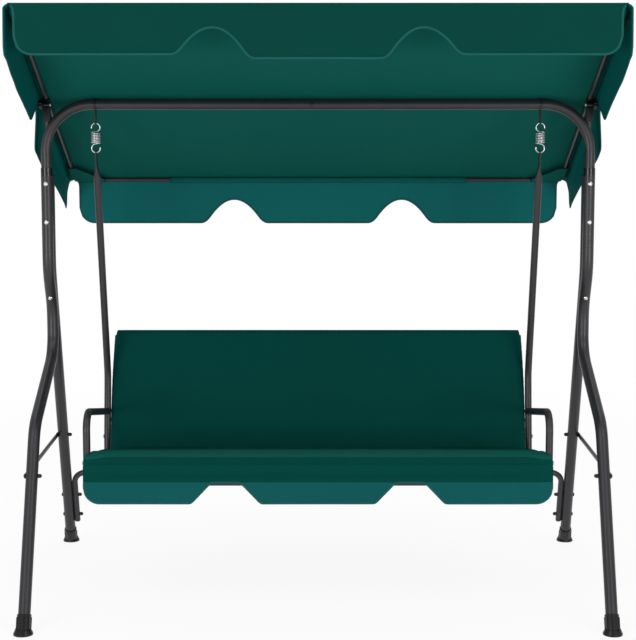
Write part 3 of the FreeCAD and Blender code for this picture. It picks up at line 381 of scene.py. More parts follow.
# The seat flap's cloth is painted lighter than the seat cloth: painted light, for light coming through it from
# behind.
seat_flap_lit_cloth = cloth("seat flap cloth in painted light", (0.0046, 0.078, 0.076), canopy_threads, "UV")
# The side flaps' cloth is the canopy cloth painted lighter: painted light on their inner faces.
side_flap_lit_cloth = cloth("side flap cloth in painted light", (0.0010, 0.096, 0.088), canopy_threads, "UV")
binding_cloth = cloth("binding tape", (0.0105, 0.084, 0.076), tape_threads, "UV")

seat_threads = 700.0
seat_weave = 0.35
seat_green = (0.0008, 0.046, 0.039)
# The band above the seat's front seam is painted lighter where it faces up: painted light.
seat_painted_light_band = ("painted light band", (0.0048, 0.076, 0.063))
seat_cloth = cloth("seat cloth", seat_green, seat_threads, "Object", seat_weave)
seat_cloth_with_lit_band = cloth("seat cloth with painted light band", seat_green, seat_threads, "Object", seat_weave, seat_painted_light_band)
print("materials:", sorted(material.name for material in bpy.data.materials))

# %% Finishes on the CAD nodes
finishes = {
    "grey_tube": powder_coat, "zinc": zinc_plate, "black_metal": black_oxide,
    "black_plastic": black_moulding, "green_cloth": canopy_cloth, "green_padding": seat_cloth,
}
for subpart in frame["record"]["subparts"]:
    node = nodes[subpart["node"]]
    node.data.materials.clear()
    node.data.materials.append(finishes[subpart["material_slot"]])


def dress(piece, material):
    """Give a modelled piece its finish, in place of any material it had."""
    piece.data.materials.clear()
    piece.data.materials.append(material)
    return piece


# %% [markdown]
# ## The canopy cover
# The cover is one sheet that rises from the front hem, folds over the front tube, runs down the slope
# and folds over the rear tube to the rear hem. It is drawn as a profile along its length, with a
# round fold at each tube, and the profile climbs a little to the front fold and sags between the
# tubes and the beam, where nothing carries it. Its corners are rounded, because they are drawn over
# the bends of the tubes. A cloth simulation could drape it, but the scallops and folds would then be
# hard to place, so each point is worked out.

# %% Canopy sizes
cloth_thickness = 0.0014
fold_radius = 0.004
corner_round = 0.022
front_rise = 0.004
rise_from = 0.36
rise_run = 0.16
side_gap = 0.003
cloth_gap = 0.0004
front_sag = 0.006
rear_sag = 0.008
side_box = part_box("canopy_side_valance_right")
side_x = (side_box[0].x + side_box[1].x) / 2
cover_half = side_x - side_gap
canopy_rise = sum(span("canopy_side_tube_left", lift)) / 2 - pivot.dot(lift)
tube_radius = canopy_tube_dia / 2
front_tube = span("canopy_front_tube", slope)[0] + tube_radius - pivot.dot(slope)
rear_tube = span("canopy_rear_tube", slope)[1] - tube_radius - pivot.dot(slope)
cover_up = canopy_rise + tube_radius + cloth_gap + cloth_thickness / 2
print("cover %.3f m wide, %.3f m above its pivot" % (2 * cover_half, cover_up))


def on_canopy(x, along, up):
    """Place on the leaning canopy: across it, along its slope and up from its pivot."""
    return Vector((x, 0, 0)) + Vector((0, pivot.y, pivot.z)) + slope * along + lift * up


def cover_height(along):
    """Height of the cover above the pivot. It climbs a little to its front fold."""
    return cover_up + front_rise * ramp(-along, rise_from, rise_run)


def corner_arc(gap, radius):
    """How far an edge is drawn in by a round corner, at a distance from the corner's end."""
    gap = min(max(gap, 0.0), radius)
    return radius - math.sqrt(radius ** 2 - (radius - gap) ** 2)


def reach_to(y, up):
    """How far along the slope a plane at the given height above it crosses a vertical plane."""
    return (y - pivot.y - lift.y * up) / slope.y


# %% Hem of a flap
dome_share = 0.71


def bell(share):
    """Wide dome with a small fillet at its foot: 0 in the middle of a cut-out, 1 at its edge."""
    share = min(abs(share), 1.0)
    if share < dome_share:
        return share * share / dome_share
    return 1 - (1 - share) ** 2 / (1 - dome_share)


def hem_depth(along, half, drops, cuts, cut_half, cut_depth, end_radius):
    """Depth of a scalloped flap at a distance along its top edge."""
    lobe = sum(1 for cut in cuts if along > cut)
    depth = drops[lobe]
    peak = drops[0] - cut_depth
    for cut in cuts:
        if abs(along - cut) < cut_half:
            depth = peak + (depth - peak) * bell((along - cut) / cut_half)
    past = abs(along) - (half - end_radius)
    if past > 0:
        depth -= end_radius - math.sqrt(max(0.0, end_radius ** 2 - past ** 2))
    return depth


# %% Front and rear flap
scallop_x = 0.286
scallop_half = 0.114
long_wave = 0.0034
long_waves_per_metre = 4.3
short_wave = 0.0012
short_waves_per_metre = 13.0
wave_growth = 1.5


def flap_wave(along, share, seed):
    """How far a hanging flap waves out of its plane. The wave grows towards the hem."""
    wave = long_wave * ripple(along * long_waves_per_metre, seed, 0.4)
    wave += short_wave * ripple(along * short_waves_per_metre, seed, 2.2)
    return wave * max(share, 0.0) ** wave_growth


class EndFlap:
    """Front or rear flap: where it hangs, how deep its lobes are and how its fold turns."""

    def __init__(self, node, outward, seed, half_trim, end_radius, cut_depth, lobe_extra, lower,
                 neck, rise):
        low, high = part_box(node)
        self.y = (low.y + high.y) / 2
        self.half = high.x - half_trim
        self.end_radius = end_radius
        self.cut_depth = cut_depth
        self.lobe_extra = lobe_extra
        self.neck = neck
        self.rise = rise
        self.outward = outward
        self.seed = seed
        self.corner = reach_to(self.y, cover_up + rise)
        self.top_z = on_canopy(0, self.corner, cover_up + rise).z
        self.drop = self.top_z - low.z + lower - lobe_extra
        self.turn = math.pi / 2 - outward * tilt
        self.trim = fold_radius * math.tan(self.turn / 2)
        self.corner_half = cover_half - corner_arc(self.trim, corner_round)

    def half_at(self, depth):
        """Half width of the flap. Its ends curve out to the corners of the cover below the fold."""
        drawn = corner_arc(depth - self.trim, self.neck)
        return self.half + (self.corner_half - self.half) * drawn / self.neck

    def depth(self, x):
        drops = (self.drop, self.drop + self.lobe_extra, self.drop)
        cuts = (-scallop_x, scallop_x)
        return hem_depth(x, self.half, drops, cuts, scallop_half, self.cut_depth,
                         self.end_radius)

    def point(self, x, depth):
        """Place on the hanging cloth. It is straight at the fold and waves most at the hem."""
        wave = flap_wave(x, depth / self.drop, self.seed)
        widened = x / self.half * self.half_at(depth)
        return Vector((widened, self.y + self.outward * wave, self.top_z - depth))


front_flap = EndFlap(
    "canopy_front_valance", outward=-1, seed=11.0, half_trim=0.012, end_radius=0.050,
    cut_depth=0.072, lobe_extra=0.0105, lower=0.0035, neck=0.026, rise=front_rise)
rear_flap = EndFlap(
    "canopy_rear_valance", outward=1, seed=23.0, half_trim=0.0, end_radius=0.052,
    cut_depth=0.080, lobe_extra=0.0, lower=-0.005, neck=0.022, rise=0.0)
print("cover from %.3f to %.3f m along the slope" % (front_flap.corner, rear_flap.corner))


# %% Place a point of the cover
held_edge = 0.02
held_power = 8
slack = 0.0022
slack_waves = (3.1, 2.2)
crease = 0.0012
crease_waves = (9.0, 2.0)


def billow(x, along):
    """Sag of the cloth between the things that carry it, with some slack and slanting creases."""
    front_bay = (front_tube, 0.0, front_sag)
    rear_bay = (0.0, rear_tube, rear_sag)
    start, end, depth = front_bay if along < 0 else rear_bay
    share = min(max((along - start) / (end - start), 0.0), 1.0)
    bay = math.sin(math.pi * share) ** 2
    edge = 1 - min(abs(x) / (cover_half - held_edge), 1.0) ** held_power
    uneven = slack * ripple(x * slack_waves[0], along * slack_waves[1], 4.7)
    uneven += crease * ripple((x + along) * crease_waves[0], along * crease_waves[1], 9.1)
    return (-depth + uneven) * bay * edge


def drawn_in(along):
    """How far the cover's side is drawn in at a rounded corner."""
    return corner_arc(min(along - front_flap.corner, rear_flap.corner - along), corner_round)


def cover_point(column, row):
    """Point of the cover. A row holds a flap's share, a fold's share or a place on the slope."""
    part, flap, value = row
    share = column / cover_half
    if part == "flap":
        x = share * flap.half
        depth = flap.trim + (flap.depth(x) - flap.trim) * value
        return flap.point(x, depth), (x, flap.corner + flap.outward * depth)
    if part == "top":
        x = share * (cover_half - drawn_in(value))
        return on_canopy(x, value, cover_height(value) + billow(x, value)), (x, value)
    x = share * flap.corner_half
    start = flap.corner - flap.outward * flap.trim
    angle = value * flap.turn
    out = lift * math.cos(angle) + slope * flap.outward * math.sin(angle)
    centre = on_canopy(x, start, cover_up + flap.rise - fold_radius)
    return centre + out * fold_radius, (x, start + flap.outward * fold_radius * angle)


# %% Rows of the cover
flap_rows = 20
row_crowding = 1.7
front_fold_rows = 6
rear_fold_rows = 4
corner_step = 0.003
slope_step = 0.014
flap_shares = [(index / flap_rows) ** row_crowding for index in range(flap_rows + 1)]


def cover_rows():
    """Rows from the front hem to the rear hem. They are close together at the folds and the corners."""
    rows = [("flap", front_flap, share) for share in reversed(flap_shares)]
    rows += [("fold", front_flap, 1 - index / front_fold_rows) for index in range(1, front_fold_rows)]
    top = [front_flap.corner + front_flap.trim, front_flap.corner + corner_round, 0.0,
           rear_flap.corner - corner_round, rear_flap.corner - rear_flap.trim]
    rows += [("top", None, along) for along in steps(top[:2], corner_step)]
    rows += [("top", None, along) for along in steps(top[1:4], slope_step)[1:]]
    rows += [("top", None, along) for along in steps(top[3:], corner_step)[1:]]
    rows += [("fold", rear_flap, index / rear_fold_rows) for index in range(1, rear_fold_rows)]
    rows += [("flap", rear_flap, share) for share in flap_shares]
    return rows


# %% Build the cover
column_step = 0.009
panel_reach = 0.006
cover_columns = steps([-cover_half, -scallop_x, scallop_x, cover_half], column_step)
cover = woven_grid("canopy_cover", cover_columns, cover_rows(), cover_point)
thicken(cover, cloth_thickness)
dress(cover, canopy_cloth)
# The front flap's panel of the cover takes the painted shade, and the rear flap's panel the painted light.
for light_painted_cloth in (front_flap_shaded_cloth, rear_flap_lit_cloth):
    cover.data.materials.append(light_painted_cloth)
for polygon in cover.data.polygons:
    if polygon.center.y < front_flap.y + panel_reach:
        polygon.material_index = 1
    if polygon.center.y > rear_flap.y - panel_reach:
        polygon.material_index = 2
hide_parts("canopy_top", "canopy_front_valance", "canopy_rear_valance")
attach(cover, "canopy")


# %% [markdown]
# ## Side flaps
# A flap hangs from each side of the cover, with one cut-out where the hand reaches the tilt knob. Its
# top edge laps over the cover and is sewn down. Its middle hangs square to the slope, its front end
# falls straight down beside the front flap, and its rear end nearly does. The rear lobe stands out a
# little, because the knob and the leg are behind it. The flap could be part of the cover's grid, but
# as a sheet of its own it shows the lap where it is sewn on.

# %% Side flap sizes
side_reach = 0.004
side_along = span("canopy_side_valance_right", slope)
side_up = span("canopy_side_valance_right", lift)
side_low = side_along[0] - pivot.dot(slope) - side_reach
side_high = side_along[1] - pivot.dot(slope) + side_reach
side_top = side_up[1] - pivot.dot(lift)
side_drop = side_top - (side_up[0] - pivot.dot(lift))
side_half = (side_high - side_low) / 2
side_mid = (side_high + side_low) / 2
rear_lobe_extra = 0.014
side_cut_half = 0.084
side_cut_depth = 0.070
side_end_radius = 0.020
end_out = 0.002
end_run = 0.050
end_dip = 0.003
corner_tuck = 0.012
lap_width = 0.008
lap_over = cloth_thickness + cloth_gap
lap_radius = 0.0035
lap_turn = lap_radius * math.pi / 2
side_seed = 31.0
print("side flaps: %.3f by %.3f m" % (2 * side_half, side_drop))

# %% Depth of a side flap
front_loss = 0.009
front_loss_from = -0.35
front_loss_run = 0.25
rear_loss = 0.040
rear_loss_from = 0.10
rear_loss_run = 0.48


def side_depth(along):
    """The front lobe shortens a little towards the cut-out, and the rear lobe towards its end."""
    drops = (side_drop, side_drop + rear_lobe_extra)
    depth = hem_depth(along - side_mid, side_half, drops, (-side_mid,), side_cut_half,
                      side_cut_depth, side_end_radius)
    if along < 0:
        return depth - front_loss * ramp(along, front_loss_from, front_loss_run)
    return depth - rear_loss * ramp(along, rear_loss_from, rear_loss_run)


# %% Place a point of a side flap
front_flare = 0.004
rear_flare = 0.0135
flare_from = -0.06
flare_run = 0.14
flare_loss = 0.55
flare_loss_from = 0.12
flare_loss_run = 0.45
flare_depth = 0.35
front_lean_run = 0.25
rear_lean = 0.8
rear_lean_run = 0.2


def flare(along, share):
    """How far the flap stands out: a little at its front, most where the rear lobe passes the knob."""
    lobe = ramp(along, flare_from, flare_run)
    lobe *= 1 - flare_loss * ramp(along, flare_loss_from, flare_loss_run)
    return front_flare * max(share, 0.0) + rear_flare * lobe * ease(share / flare_depth)


def side_point(side, along, depth):
    """Place on a side flap. Depths below zero lie in the lap, and the ends go round the corners."""
    end = 1 - ease(min(along - side_low, side_high - along) / end_run)
    edge = side_x + end * (end_out - corner_arc(depth, corner_tuck))
    front_share = 1 - ramp(along, side_low, front_lean_run)
    rear_share = rear_lean * (1 - ease((side_high - along) / rear_lean_run))
    lean = math.tan(tilt) * (front_share + rear_share)
    top = cover_height(along) + lap_over - lap_radius - end_dip * end ** 3
    if depth >= 0:
        share = depth / side_drop
        x = edge + flap_wave(along, share, side_seed + side) + flare(along, share)
        up = top - depth
    else:
        angle = max(0.0, 1 + depth / lap_turn) * math.pi / 2
        x = edge - lap_radius + lap_radius * math.sin(angle) - max(0.0, -depth - lap_turn)
        up = top + lap_radius * math.cos(angle)
    return on_canopy(side * x, along + lean * max(depth, 0.0), up)


# %% Build the side flaps
side_columns = steps([side_low, 0.0, side_high], column_step)
lap_rows = [-lap_width - lap_turn]
lap_rows += [-lap_turn * quarters / 4 for quarters in (4, 3, 2, 1)]
side_rows = lap_rows + flap_shares
side_flaps = {}
for side, label in ((-1, "left"), (1, "right")):
    def side_cloth(along, row, side=side):
        depth = row if row < 0 else row * side_depth(along)
        return side_point(side, along, depth), (along, depth)

    flap = woven_grid("canopy_side_flap_" + label, side_columns, side_rows, side_cloth)
    thicken(flap, cloth_thickness)
    dress(flap, side_flap_lit_cloth)
    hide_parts("canopy_side_valance_" + label)
    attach(flap, "canopy")
    side_flaps[side] = flap


# %% [markdown]
# ## Bindings
# Each hem is bound with a narrow tape folded over the raw edge, and the tape runs on up both ends of
# the flap. It catches the light as a pale line along the scallops. A painted stripe would stay flat,
# so the tape is a thicker ribbon that follows the outline of the flap.

# %% Tape helper
tape_width = 0.006
tape_thickness = 0.0032
tape_over = 0.0006
tape_rows = 3
tape_soft_edge = 0.0012
outline_step = 0.003


def outline_of(columns, depth_at, top):
    """Points along and below a flap's top edge: down one end, along the hem and up the other end."""
    first, last = columns[0], columns[-1]
    down = [(first, depth) for depth in steps([top, depth_at(first)], outline_step)[:-1]]
    up = [(last, depth) for depth in steps([depth_at(last), top], outline_step)[1:]]
    return down + [(along, depth_at(along)) for along in columns] + up


def bind(name, outline, surface):
    """Ribbon along an outline. surface(along, depth) gives the place on the cloth."""
    def place(index, row):
        before = outline[max(index - 1, 0)]
        after = outline[min(index + 1, len(outline) - 1)]
        run = (after[0] - before[0], after[1] - before[1])
        step = (tape_width * (1 - row) - tape_over * row) / math.hypot(*run)
        along = outline[index][0] + run[1] * step
        depth = outline[index][1] - run[0] * step
        return surface(along, depth), (index * column_step, row * tape_width)

    rows = [index / tape_rows for index in range(tape_rows + 1)]
    tape = woven_grid(name, list(range(len(outline))), rows, place)
    thicken(tape, tape_thickness)
    rounding = tape.modifiers.new("soft edge", "BEVEL")
    rounding.affect = "EDGES"
    rounding.width = tape_soft_edge
    rounding.segments = 2
    rounding.profile = 0.5
    rounding.material = -1
    return dress(tape, binding_cloth)


# %% Bind the canopy's hems
tape_start = 0.002
side_tape_start = 0.006


def flap_columns(flap):
    return [column / cover_half * flap.half for column in cover_columns]


canopy_tapes = []
for name, flap in (("front_flap_tape", front_flap), ("rear_flap_tape", rear_flap)):
    flap_outline = outline_of(flap_columns(flap), flap.depth, flap.trim + tape_start)
    canopy_tapes.append(bind(name, flap_outline, flap.point))
side_tapes = {}
for side, label in ((-1, "left"), (1, "right")):
    def side_surface(along, depth, side=side):
        return side_point(side, along, depth)

    side_outline = outline_of(side_columns, side_depth, side_tape_start)
    side_tapes[side] = bind("side_flap_tape_" + label, side_outline, side_surface)
for tape in (*canopy_tapes, *side_tapes.values()):
    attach(tape, "canopy")
print("tapes:", len(canopy_tapes) + len(side_tapes))


# %% [markdown]
# ## Pockets and tunnels
# The cover is held on its tubes by a pocket of cloth at each corner and by a tunnel along the middle
# of the front and rear tubes. Between them the bare tube shows. Each is a small grid bent to its
# place under the cover, so that the tubes are seen to run into them.

# %% Corner pockets
tube_play = 0.0022
pocket_leg = 0.118
pocket_side = 0.036
pocket_low = canopy_rise - tube_radius - tube_play
pocket_high = cover_up - cloth_thickness - cloth_gap
pocket_rise = 0.011
pocket_sag = 0.002
pocket_round = 0.010
pocket_round_run = 0.3
pocket_cells = 24
pocket_seam_x = cover_half - 0.003
pocket_seam_in = 0.004


def pocket_place(side, flap):
    """Pocket under one corner. Its rows run from the slanting free edge out to the two sewn sides."""
    seam_along = abs(flap.corner) - pocket_seam_in

    def place(across, row):
        free = blend_points((pocket_leg, pocket_side), (pocket_side, pocket_leg), across)
        swing = 2 * across
        sewn = (pocket_leg * max(1 - swing, 0.0), pocket_leg * max(swing - 1, 0.0))
        round_off = pocket_round * (1 - ease(abs(swing - 1) / pocket_round_run))
        sewn = (sewn[0] + round_off, sewn[1] + round_off)
        inset = blend_points(free, sewn, row)
        gap = (1 - row) * math.dist(free, sewn)
        up = pocket_low + (pocket_high - pocket_low) * ease(1 - gap / pocket_rise)
        up -= pocket_sag * math.sin(math.pi * across) * (1 - row)
        along = flap.outward * (seam_along - inset[1])
        return on_canopy(side * (pocket_seam_x - inset[0]), along, up), inset
    return place


canopy_trims = []
pocket_shares = [index / pocket_cells for index in range(pocket_cells + 1)]
for side, side_label in ((-1, "left"), (1, "right")):
    for flap, end_label in ((front_flap, "front"), (rear_flap, "rear")):
        name = "corner_pocket_%s_%s" % (end_label, side_label)
        pocket = woven_grid(name, pocket_shares, pocket_shares, pocket_place(side, flap))
        canopy_trims.append((pocket, (pocket_leg, pocket_leg)))
print("pockets:", len(canopy_trims))


# %% Tube tunnels
tunnel_half = 0.506
tunnel_radius = tube_radius + tube_play
tunnel_sag = 0.0006
tunnel_waves_per_metre = 7.0
tunnel_step = 0.02
tunnel_wrap = 130
tunnel_turn_step = 10


def tunnel_place(flap, tube_along):
    """Tunnel round one tube, a little loose underneath."""
    def place(x, turn):
        out = slope * flap.outward * math.sin(turn) - lift * math.cos(turn)
        point = on_canopy(x, tube_along, canopy_rise) + out * tunnel_radius
        loose = 1 + ripple(x * tunnel_waves_per_metre, flap.seed, 5.0)
        point -= lift * tunnel_sag * loose * math.cos(turn / 2)
        return point, (x, turn * tunnel_radius)
    return place


tunnel_angles = range(-tunnel_wrap, tunnel_wrap + 1, tunnel_turn_step)
tunnel_turns = [math.radians(angle) for angle in tunnel_angles]
tunnel_columns = steps([-tunnel_half, tunnel_half], tunnel_step)
tunnel_flat = (2 * tunnel_half, tunnel_radius * (tunnel_turns[-1] - tunnel_turns[0]))
for flap, tube_along, label in ((front_flap, front_tube, "front"), (rear_flap, rear_tube, "rear")):
    place = tunnel_place(flap, tube_along)
    tunnel = woven_grid("tube_tunnel_" + label, tunnel_columns, tunnel_turns, place)
    canopy_trims.append((tunnel, tunnel_flat))
print("tunnels: %.2f m long" % (2 * tunnel_half))

# %% Finish the pockets and tunnels
for trim, flat in canopy_trims:
    thicken(trim, cloth_thickness)
    dress(trim, canopy_cloth)
    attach(trim, "canopy")
print("pockets and tunnels:", len(canopy_trims))


# %% [markdown]
# ## Seat and back
# The seat is a padded cover slung between the side tubes. It falls over the front tube in a soft
# roll, and the back hoods the top tube. Each starts from its CAD solid, is remeshed into even cells
# and blown up a little by a cloth simulation, which gives a softer surface than a bevel would. The
# tubes are under the pad, so only the outer side may swell.

# %% Pad helpers
pad_cell = 0.009
pad_swell = 0.0035
pad_softening = 0.5
pad_softening_rounds = 2
swell_pressure = 4.0
swell_frames = 12


def merged_copy(name, node):
    """Copy of a CAD node with its loose triangles joined."""
    bm = bmesh.new()
    bm.from_mesh(nodes[node].data)
    bmesh.ops.remove_doubles(bm, verts=bm.verts, dist=1e-6)
    return new_object(name, bm)


# %% Blown pad
def blown_pad(name, node, outward):
    """Padded copy of a CAD solid: remeshed, swollen where it faces outward(point), and smoothed."""
    pad = merged_copy(name, node)
    remesh = pad.modifiers.new("even cells", "REMESH")
    remesh.mode = "VOXEL"
    remesh.voxel_size = pad_cell
    apply_modifiers(pad)
    rest = [vertex.co.copy() for vertex in pad.data.vertices]
    facing = [max(0.0, vertex.normal.dot(outward(vertex.co))) for vertex in pad.data.vertices]
    simulate_swelling(pad)
    moved = [vertex.co.copy() for vertex in pad.data.vertices]
    for vertex, start, end, weight in zip(pad.data.vertices, rest, moved, facing):
        step = end - start
        if step.length > pad_swell:
            step *= pad_swell / step.length
        vertex.co = start + step * weight
    softening = pad.modifiers.new("soft edges", "SMOOTH")
    softening.factor = pad_softening
    softening.iterations = pad_softening_rounds
    apply_modifiers(pad)
    restore_reach(pad, node)
    for polygon in pad.data.polygons:
        polygon.use_smooth = True
    return pad


def restore_reach(pad, node):
    """Stretch a softened pad back to the width and height of its CAD solid."""
    low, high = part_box(node)
    for axis in (0, 2):
        reach = [vertex.co[axis] for vertex in pad.data.vertices]
        start, end = min(reach), max(reach)
        scale = (high[axis] - low[axis]) / (end - start)
        for vertex in pad.data.vertices:
            vertex.co[axis] = low[axis] + (vertex.co[axis] - start) * scale


def apply_modifiers(piece):
    """Keep the shape that the modifiers give as the piece's own mesh."""
    graph = bpy.context.evaluated_depsgraph_get()
    mesh = bpy.data.meshes.new_from_object(piece.evaluated_get(graph))
    piece.modifiers.clear()
    piece.data = mesh


def simulate_swelling(pad):
    """Blow the pad up from inside for a few frames, without its weight."""
    swell = pad.modifiers.new("swell", "CLOTH")
    swell.settings.use_pressure = True
    swell.settings.uniform_pressure_force = swell_pressure
    swell.settings.effector_weights.gravity = 0.0
    swell.point_cache.frame_start = 1
    swell.point_cache.frame_end = swell_frames
    for step in range(1, swell_frames + 1):
        bpy.context.scene.frame_set(step)
    apply_modifiers(pad)
    bpy.context.scene.frame_set(1)


# %% Seat sizes
seat_flap_low, seat_flap_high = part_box("seat_valance")
hem_thinning = 0.045
band_height = 0.072
band_depth = 0.045
seam_z = seat_flap_high.z + band_height
seam_half = 0.672
seam_straight = 0.60
seam_droop = 0.006
seam_radius = 0.0022
seam_sides = 8
seam_step = 0.01
seam_search = 0.03
band_rear_y = seat_flap_low.y + band_depth
roll_rear_y = -0.27
roll_half = seat_flap_high.x
roll_fill_from = 0.055
roll_fill = 0.012
roll_widen = 0.004


def seam_height(x):
    """Height of the seam along the front roll. It droops at the ends of the roll."""
    return seam_z - seam_droop * ramp(abs(x), seam_straight, seam_half - seam_straight)


def seat_outward(point):
    """The seat swells upwards, and its front roll forwards too."""
    if point.y < roll_rear_y:
        return Vector((0, -0.7, 1)).normalized()
    return Vector((0, 0, 1))


print("seam %.3f m above the floor" % seam_z)

# %% Seat pad
seat_pad = blown_pad("seat_cushion", "seat_pad", seat_outward)
# The stored value is above zero on the band above the seam, which the seat cloth paints lighter: painted light.
painted_band_height = seat_pad.data.attributes.new(seat_painted_light_band[0], "FLOAT", "POINT")
for vertex in seat_pad.data.vertices:
    share = ease((vertex.co.z - seat_flap_high.z) / hem_thinning)
    if vertex.co.y < seat_flap_low.y:
        vertex.co.y = seat_flap_low.y + (vertex.co.y - seat_flap_low.y) * share
    if vertex.co.y < band_rear_y:
        end = ease(1 - (roll_half - abs(vertex.co.x)) / roll_fill_from)
        vertex.co.z += roll_fill * end * share
        vertex.co.x += math.copysign(roll_widen * end, vertex.co.x)
    height = vertex.co.z - seam_height(vertex.co.x)
    painted_band_height.data[vertex.index].value = min(height, band_rear_y - vertex.co.y)
dress(seat_pad, seat_cloth_with_lit_band)
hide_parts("seat_pad")
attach(seat_pad, "seat")
print("seat pad:", len(seat_pad.data.vertices), "vertices")

# %% Seam along the front of the seat
seat_skin = BVHTree.FromPolygons(
    [vertex.co for vertex in seat_pad.data.vertices],
    [polygon.vertices for polygon in seat_pad.data.polygons])


def seam_place(x, turn):
    in_front = Vector((x, seat_flap_low.y - seam_search, seam_height(x)))
    skin_point = seat_skin.find_nearest(in_front)[0]
    out = Vector((0, -math.cos(turn), math.sin(turn))) * seam_radius
    return skin_point + out, (x, turn * seam_radius)


seam_columns = steps([-seam_half, seam_half], seam_step)
seam_turns = [2 * math.pi * index / seam_sides for index in range(seam_sides + 1)]
seat_seam = woven_grid("seat_seam", seam_columns, seam_turns, seam_place)
dress(seat_seam, seat_cloth)
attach(seat_seam, "seat")
print("seam: %.2f m long" % (2 * seam_half))

# %% Back pad
back_low, back_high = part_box("back_pad")
back_widening = 0.003
back_bulge = 0.0045


def back_outward(point):
    """The back swells forwards and a little upwards everywhere."""
    return Vector((0, -1, 0.3)).normalized()


back_pad = blown_pad("back_cushion", "back_pad", back_outward)
for vertex in back_pad.data.vertices:
    share = (vertex.co.z - back_low.z) / (back_high.z - back_low.z)
    side_bulge = back_widening + back_bulge * math.sin(math.pi * min(max(share, 0.0), 1.0))
    vertex.co.x += side_bulge * vertex.co.x / back_high.x
dress(back_pad, seat_cloth)
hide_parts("back_pad")
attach(back_pad, "seat")
print("back pad:", len(back_pad.data.vertices), "vertices")

# %% [markdown]
# ## Seat flap
# A plain flap hangs under the front of the seat, with two trapezoid cut-outs and rounded ends. It
# could be cut out of a rectangle, but a grid whose columns fall on the corners of the cut-outs keeps
# its weave and its waves.

# %% Shape of the seat flap
seat_flap_half = roll_half + roll_widen
seat_flap_y = (seat_flap_low.y + seat_flap_high.y) / 2
seat_flap_drop = seat_flap_high.z - seat_flap_low.z
seat_flap_round = 0.048
seat_flap_tuck = 0.012
notch_x = 0.2686
notch_top_half = 0.042
notch_low_half = 0.101
notch_depth = 0.062
notch_round = 0.0065
notch_samples = 4
notch_keys = []
for centre in (-notch_x, notch_x):
    notch_keys += [centre - notch_low_half, centre - notch_top_half]
    notch_keys += [centre + notch_top_half, centre + notch_low_half]
seat_flap_seed = 47.0
seat_flap_stiffness = 0.5
seat_flap_rows = 10
seat_flap_step = 0.004


def sharp_notch(x):
    """Height of the cut-outs with sharp corners."""
    away = min(abs(x - centre) for centre in (-notch_x, notch_x))
    climb = (notch_low_half - away) / (notch_low_half - notch_top_half)
    return notch_depth * min(max(climb, 0.0), 1.0)


def seat_flap_depth(x):
    """Depth of the flap. Averaging the cut-out over a short run rounds its corners."""
    offsets = range(-notch_samples, notch_samples + 1)
    nearby = [sharp_notch(x + notch_round * offset / notch_samples) for offset in offsets]
    depth = seat_flap_drop - sum(nearby) / len(nearby)
    past = abs(x) - (seat_flap_half - seat_flap_round)
    if past > 0:
        depth -= seat_flap_round - math.sqrt(max(0.0, seat_flap_round ** 2 - past ** 2))
    return depth


def seat_flap_point(x, depth):
    wave = flap_wave(x, depth / seat_flap_drop, seat_flap_seed) * seat_flap_stiffness
    return Vector((x, seat_flap_y + wave, seat_flap_high.z - depth))


def seat_flap_place(x, share):
    depth = (seat_flap_depth(x) + seat_flap_tuck) * share - seat_flap_tuck
    return seat_flap_point(x, depth), (x, depth)


# %% Build the seat flap
seat_flap_columns = steps([-seat_flap_half, *notch_keys, seat_flap_half], seat_flap_step)
seat_flap_shares = [index / seat_flap_rows for index in range(seat_flap_rows + 1)]
seat_flap = woven_grid("seat_flap", seat_flap_columns, seat_flap_shares, seat_flap_place)
thicken(seat_flap, cloth_thickness)
dress(seat_flap, seat_flap_lit_cloth)
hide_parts("seat_valance")
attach(seat_flap, "seat")
seat_flap_outline = outline_of(seat_flap_columns, seat_flap_depth, tape_start)
seat_tape = bind("seat_flap_tape", seat_flap_outline, seat_flap_point)
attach(seat_tape, "seat")


# %% [markdown]
# ## Springs
# The springs stretch when someone sits down. Each is a copy of its CAD coil with its loose
# triangles joined, in zinc plate, which takes the place of the CAD node. Scaling a coil as a whole
# would stretch its hooks too.

# %% Springs
for label in ("left", "right"):
    coil = merged_copy("coil_" + label, "spring_" + label)
    dress(coil, zinc_plate)
    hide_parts("spring_" + label)
    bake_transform(coil)


# %% [markdown]
# ## Size of the cover
# The cover's cut length runs from its front hem to its rear hem, and its size is printed.

cover_length = rear_flap.corner - front_flap.corner
cover_length += sum(flap.drop + flap.lobe_extra for flap in (front_flap, rear_flap))
for side, flap in side_flaps.items():
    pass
print("cover cut %.2f by %.2f m" % (2 * cover_half, cover_length))

# %% [markdown]
# ## Stage, light and camera
# The floor and the background are plain and pale. Broad lamps light the bench evenly, as in a studio,
# and the camera stands where the photograph was taken from. The floor shows the camera mostly plain
# white, so it needs no more light on the bench and still keeps a soft shadow.

